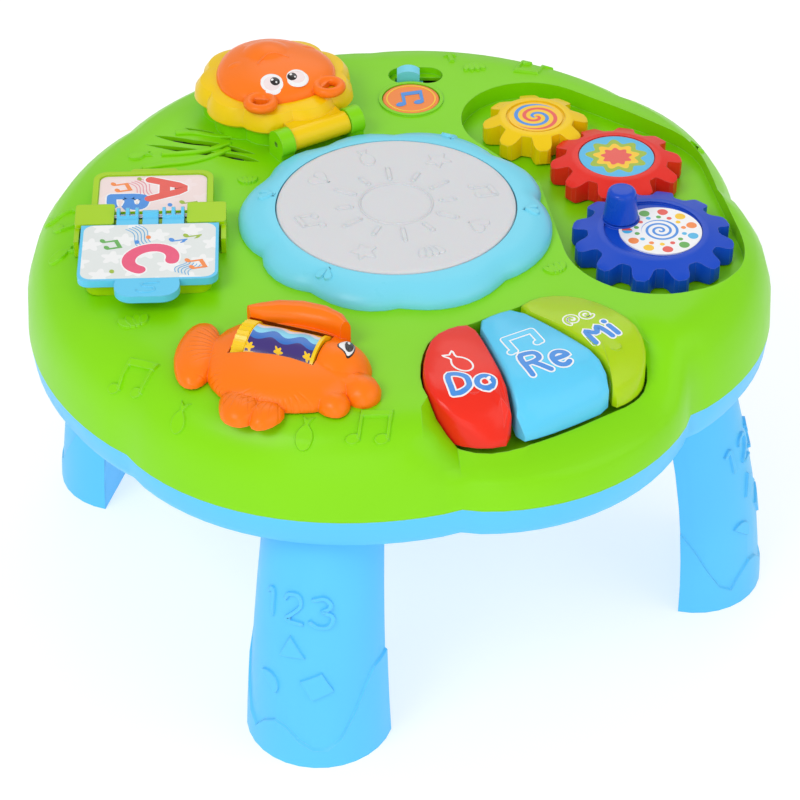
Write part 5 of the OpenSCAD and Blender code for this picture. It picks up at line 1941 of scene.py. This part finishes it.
@dataclass
class Controls(Kit):
    """The slide switch and the round badge with a plain note motif."""

    badge: Point = (4.4, 118.0)
    ring: float = 13.2

    def build(self) -> None:
        """Makes the switch's knob and the badge's motif."""
        orange = Moulded("badge_plastic", Tint.PRINT_ORANGE, shine=0.32)
        plate = self.refine("badge", "face_orange", orange, crease=30, weighted=True)
        spot = Bench.over(plate, *self.badge, 6)
        self.relief("badge_note", Stencil.note(15), spot, plate, 0.25, "face_orange", BLUE_INK)
        ring = Stencil.ellipse(0, 0, self.ring, self.ring, 0, 60)
        amber = print_of(Tint.AMBER)
        self.strokes("badge_ring", [ring], 0.8, spot, plate, 0.2, "face_orange", amber, closed=True)
        self.body = "slider"
        self.refine("switch_slider", "rim_cyan", Moulded("switch_plastic", Tint.RIM, 0.34), 30, weighted=True)


@dataclass
class Inside(Kit):
    """Electronics, battery box and fasteners."""

    def build(self) -> None:
        """Dresses the hidden and underside pieces."""
        self.dress(Matt("switch_case", Tint.GRAPHITE, rough=0.6), "slide_switch")
        self.dress(Matt("speaker_cone", Tint.GRAPHITE, rough=0.8, tooth=0.8), "speaker")
        self.dress(Matt("solder_mask", Tint.MASK, rough=0.45, tooth=0.6), "circuit_board")
        self.dress(Matt("cell_sleeve", Tint.GRAPHITE, rough=0.4, tooth=1.5), "batteries")
        self.dress(STEEL, "board_screws", "battery_contacts", "door_screw", "shell_screws")
        self.refine("battery_door", "base_blue", BLUE, crease=25, weighted=True)


@dataclass(frozen=True)
class Lamp:
    """One soft square lamp."""

    name: str
    place: tuple[float, float, float]
    size: float
    power: float


@dataclass
class Studio:
    """A pale floor, soft lamps and the photograph's camera."""

    lamps: tuple[Lamp, ...] = (
        Lamp("key_lamp", (-1.1, -1.2, 1.8), 1.0, 15.5), Lamp("fill_lamp", (1.6, -0.9, 1.2), 1.6, 8.0),
        Lamp("back_lamp", (0.2, 1.6, 1.7), 1.4, 6.0), Lamp("front_lamp", (-0.2, -2.2, 0.7), 1.4, 6.5))
    aim: tuple[float, float, float] = (0.0, 0.0, 0.15)
    ambient: float = 0.62
    floor_size: float = 12.0
    eye: tuple[float, float, float] = (-0.0016, -1.1146, 0.9477)
    tilt: float = 52.16
    lens: float = 118.08
    sensor: float = 36.0
    far: float = 50.0

    def build(self) -> None:
        """Sets up floor, lamps, world and camera."""
        Bench.clear()
        bpy.ops.mesh.primitive_plane_add(size=self.floor_size)
        floor = Bench.fresh("studio_floor")
        floor.data.materials.append(Ground("pale_floor").material())
        for plan in self.lamps:
            bpy.ops.object.light_add(type="AREA", location=plan.place)
            lamp = bpy.context.view_layer.objects.active
            lamp.name = plan.name
            lamp.data.size = plan.size
            lamp.data.energy = plan.power
            lamp.rotation_euler = (Vector(self.aim) - Vector(plan.place)).to_track_quat("-Z", "Y").to_euler()
        world = bpy.data.worlds.new("soft_room")
        bpy.context.scene.world = world
        world.use_nodes = True
        background = world.node_tree.nodes["Background"]
        background.inputs["Color"].default_value = (1, 1, 1, 1)
        background.inputs["Strength"].default_value = self.ambient
        bpy.ops.object.camera_add(location=self.eye, rotation=(math.radians(self.tilt), 0, 0))
        camera = bpy.context.view_layer.objects.active
        camera.name = "photo_camera"
        camera.data.lens = self.lens
        camera.data.sensor_width = self.sensor
        camera.data.clip_end = self.far
        bpy.context.scene.camera = camera
        bpy.context.scene.view_settings.view_transform = "Standard"


def main() -> None:
    """Builds every sub-assembly in order."""
    logging.basicConfig(level=logging.INFO, format="%(name)s: %(message)s")
    for kit in (Housing, LegSet, Drum, GearTrain, KeySet, FaceLid, Book, Fish, Controls, Inside, Studio):
        log.info("building %s", kit.__name__)
        kit().build()
    Bench.clear()


if __name__ == "__main__":
    main()
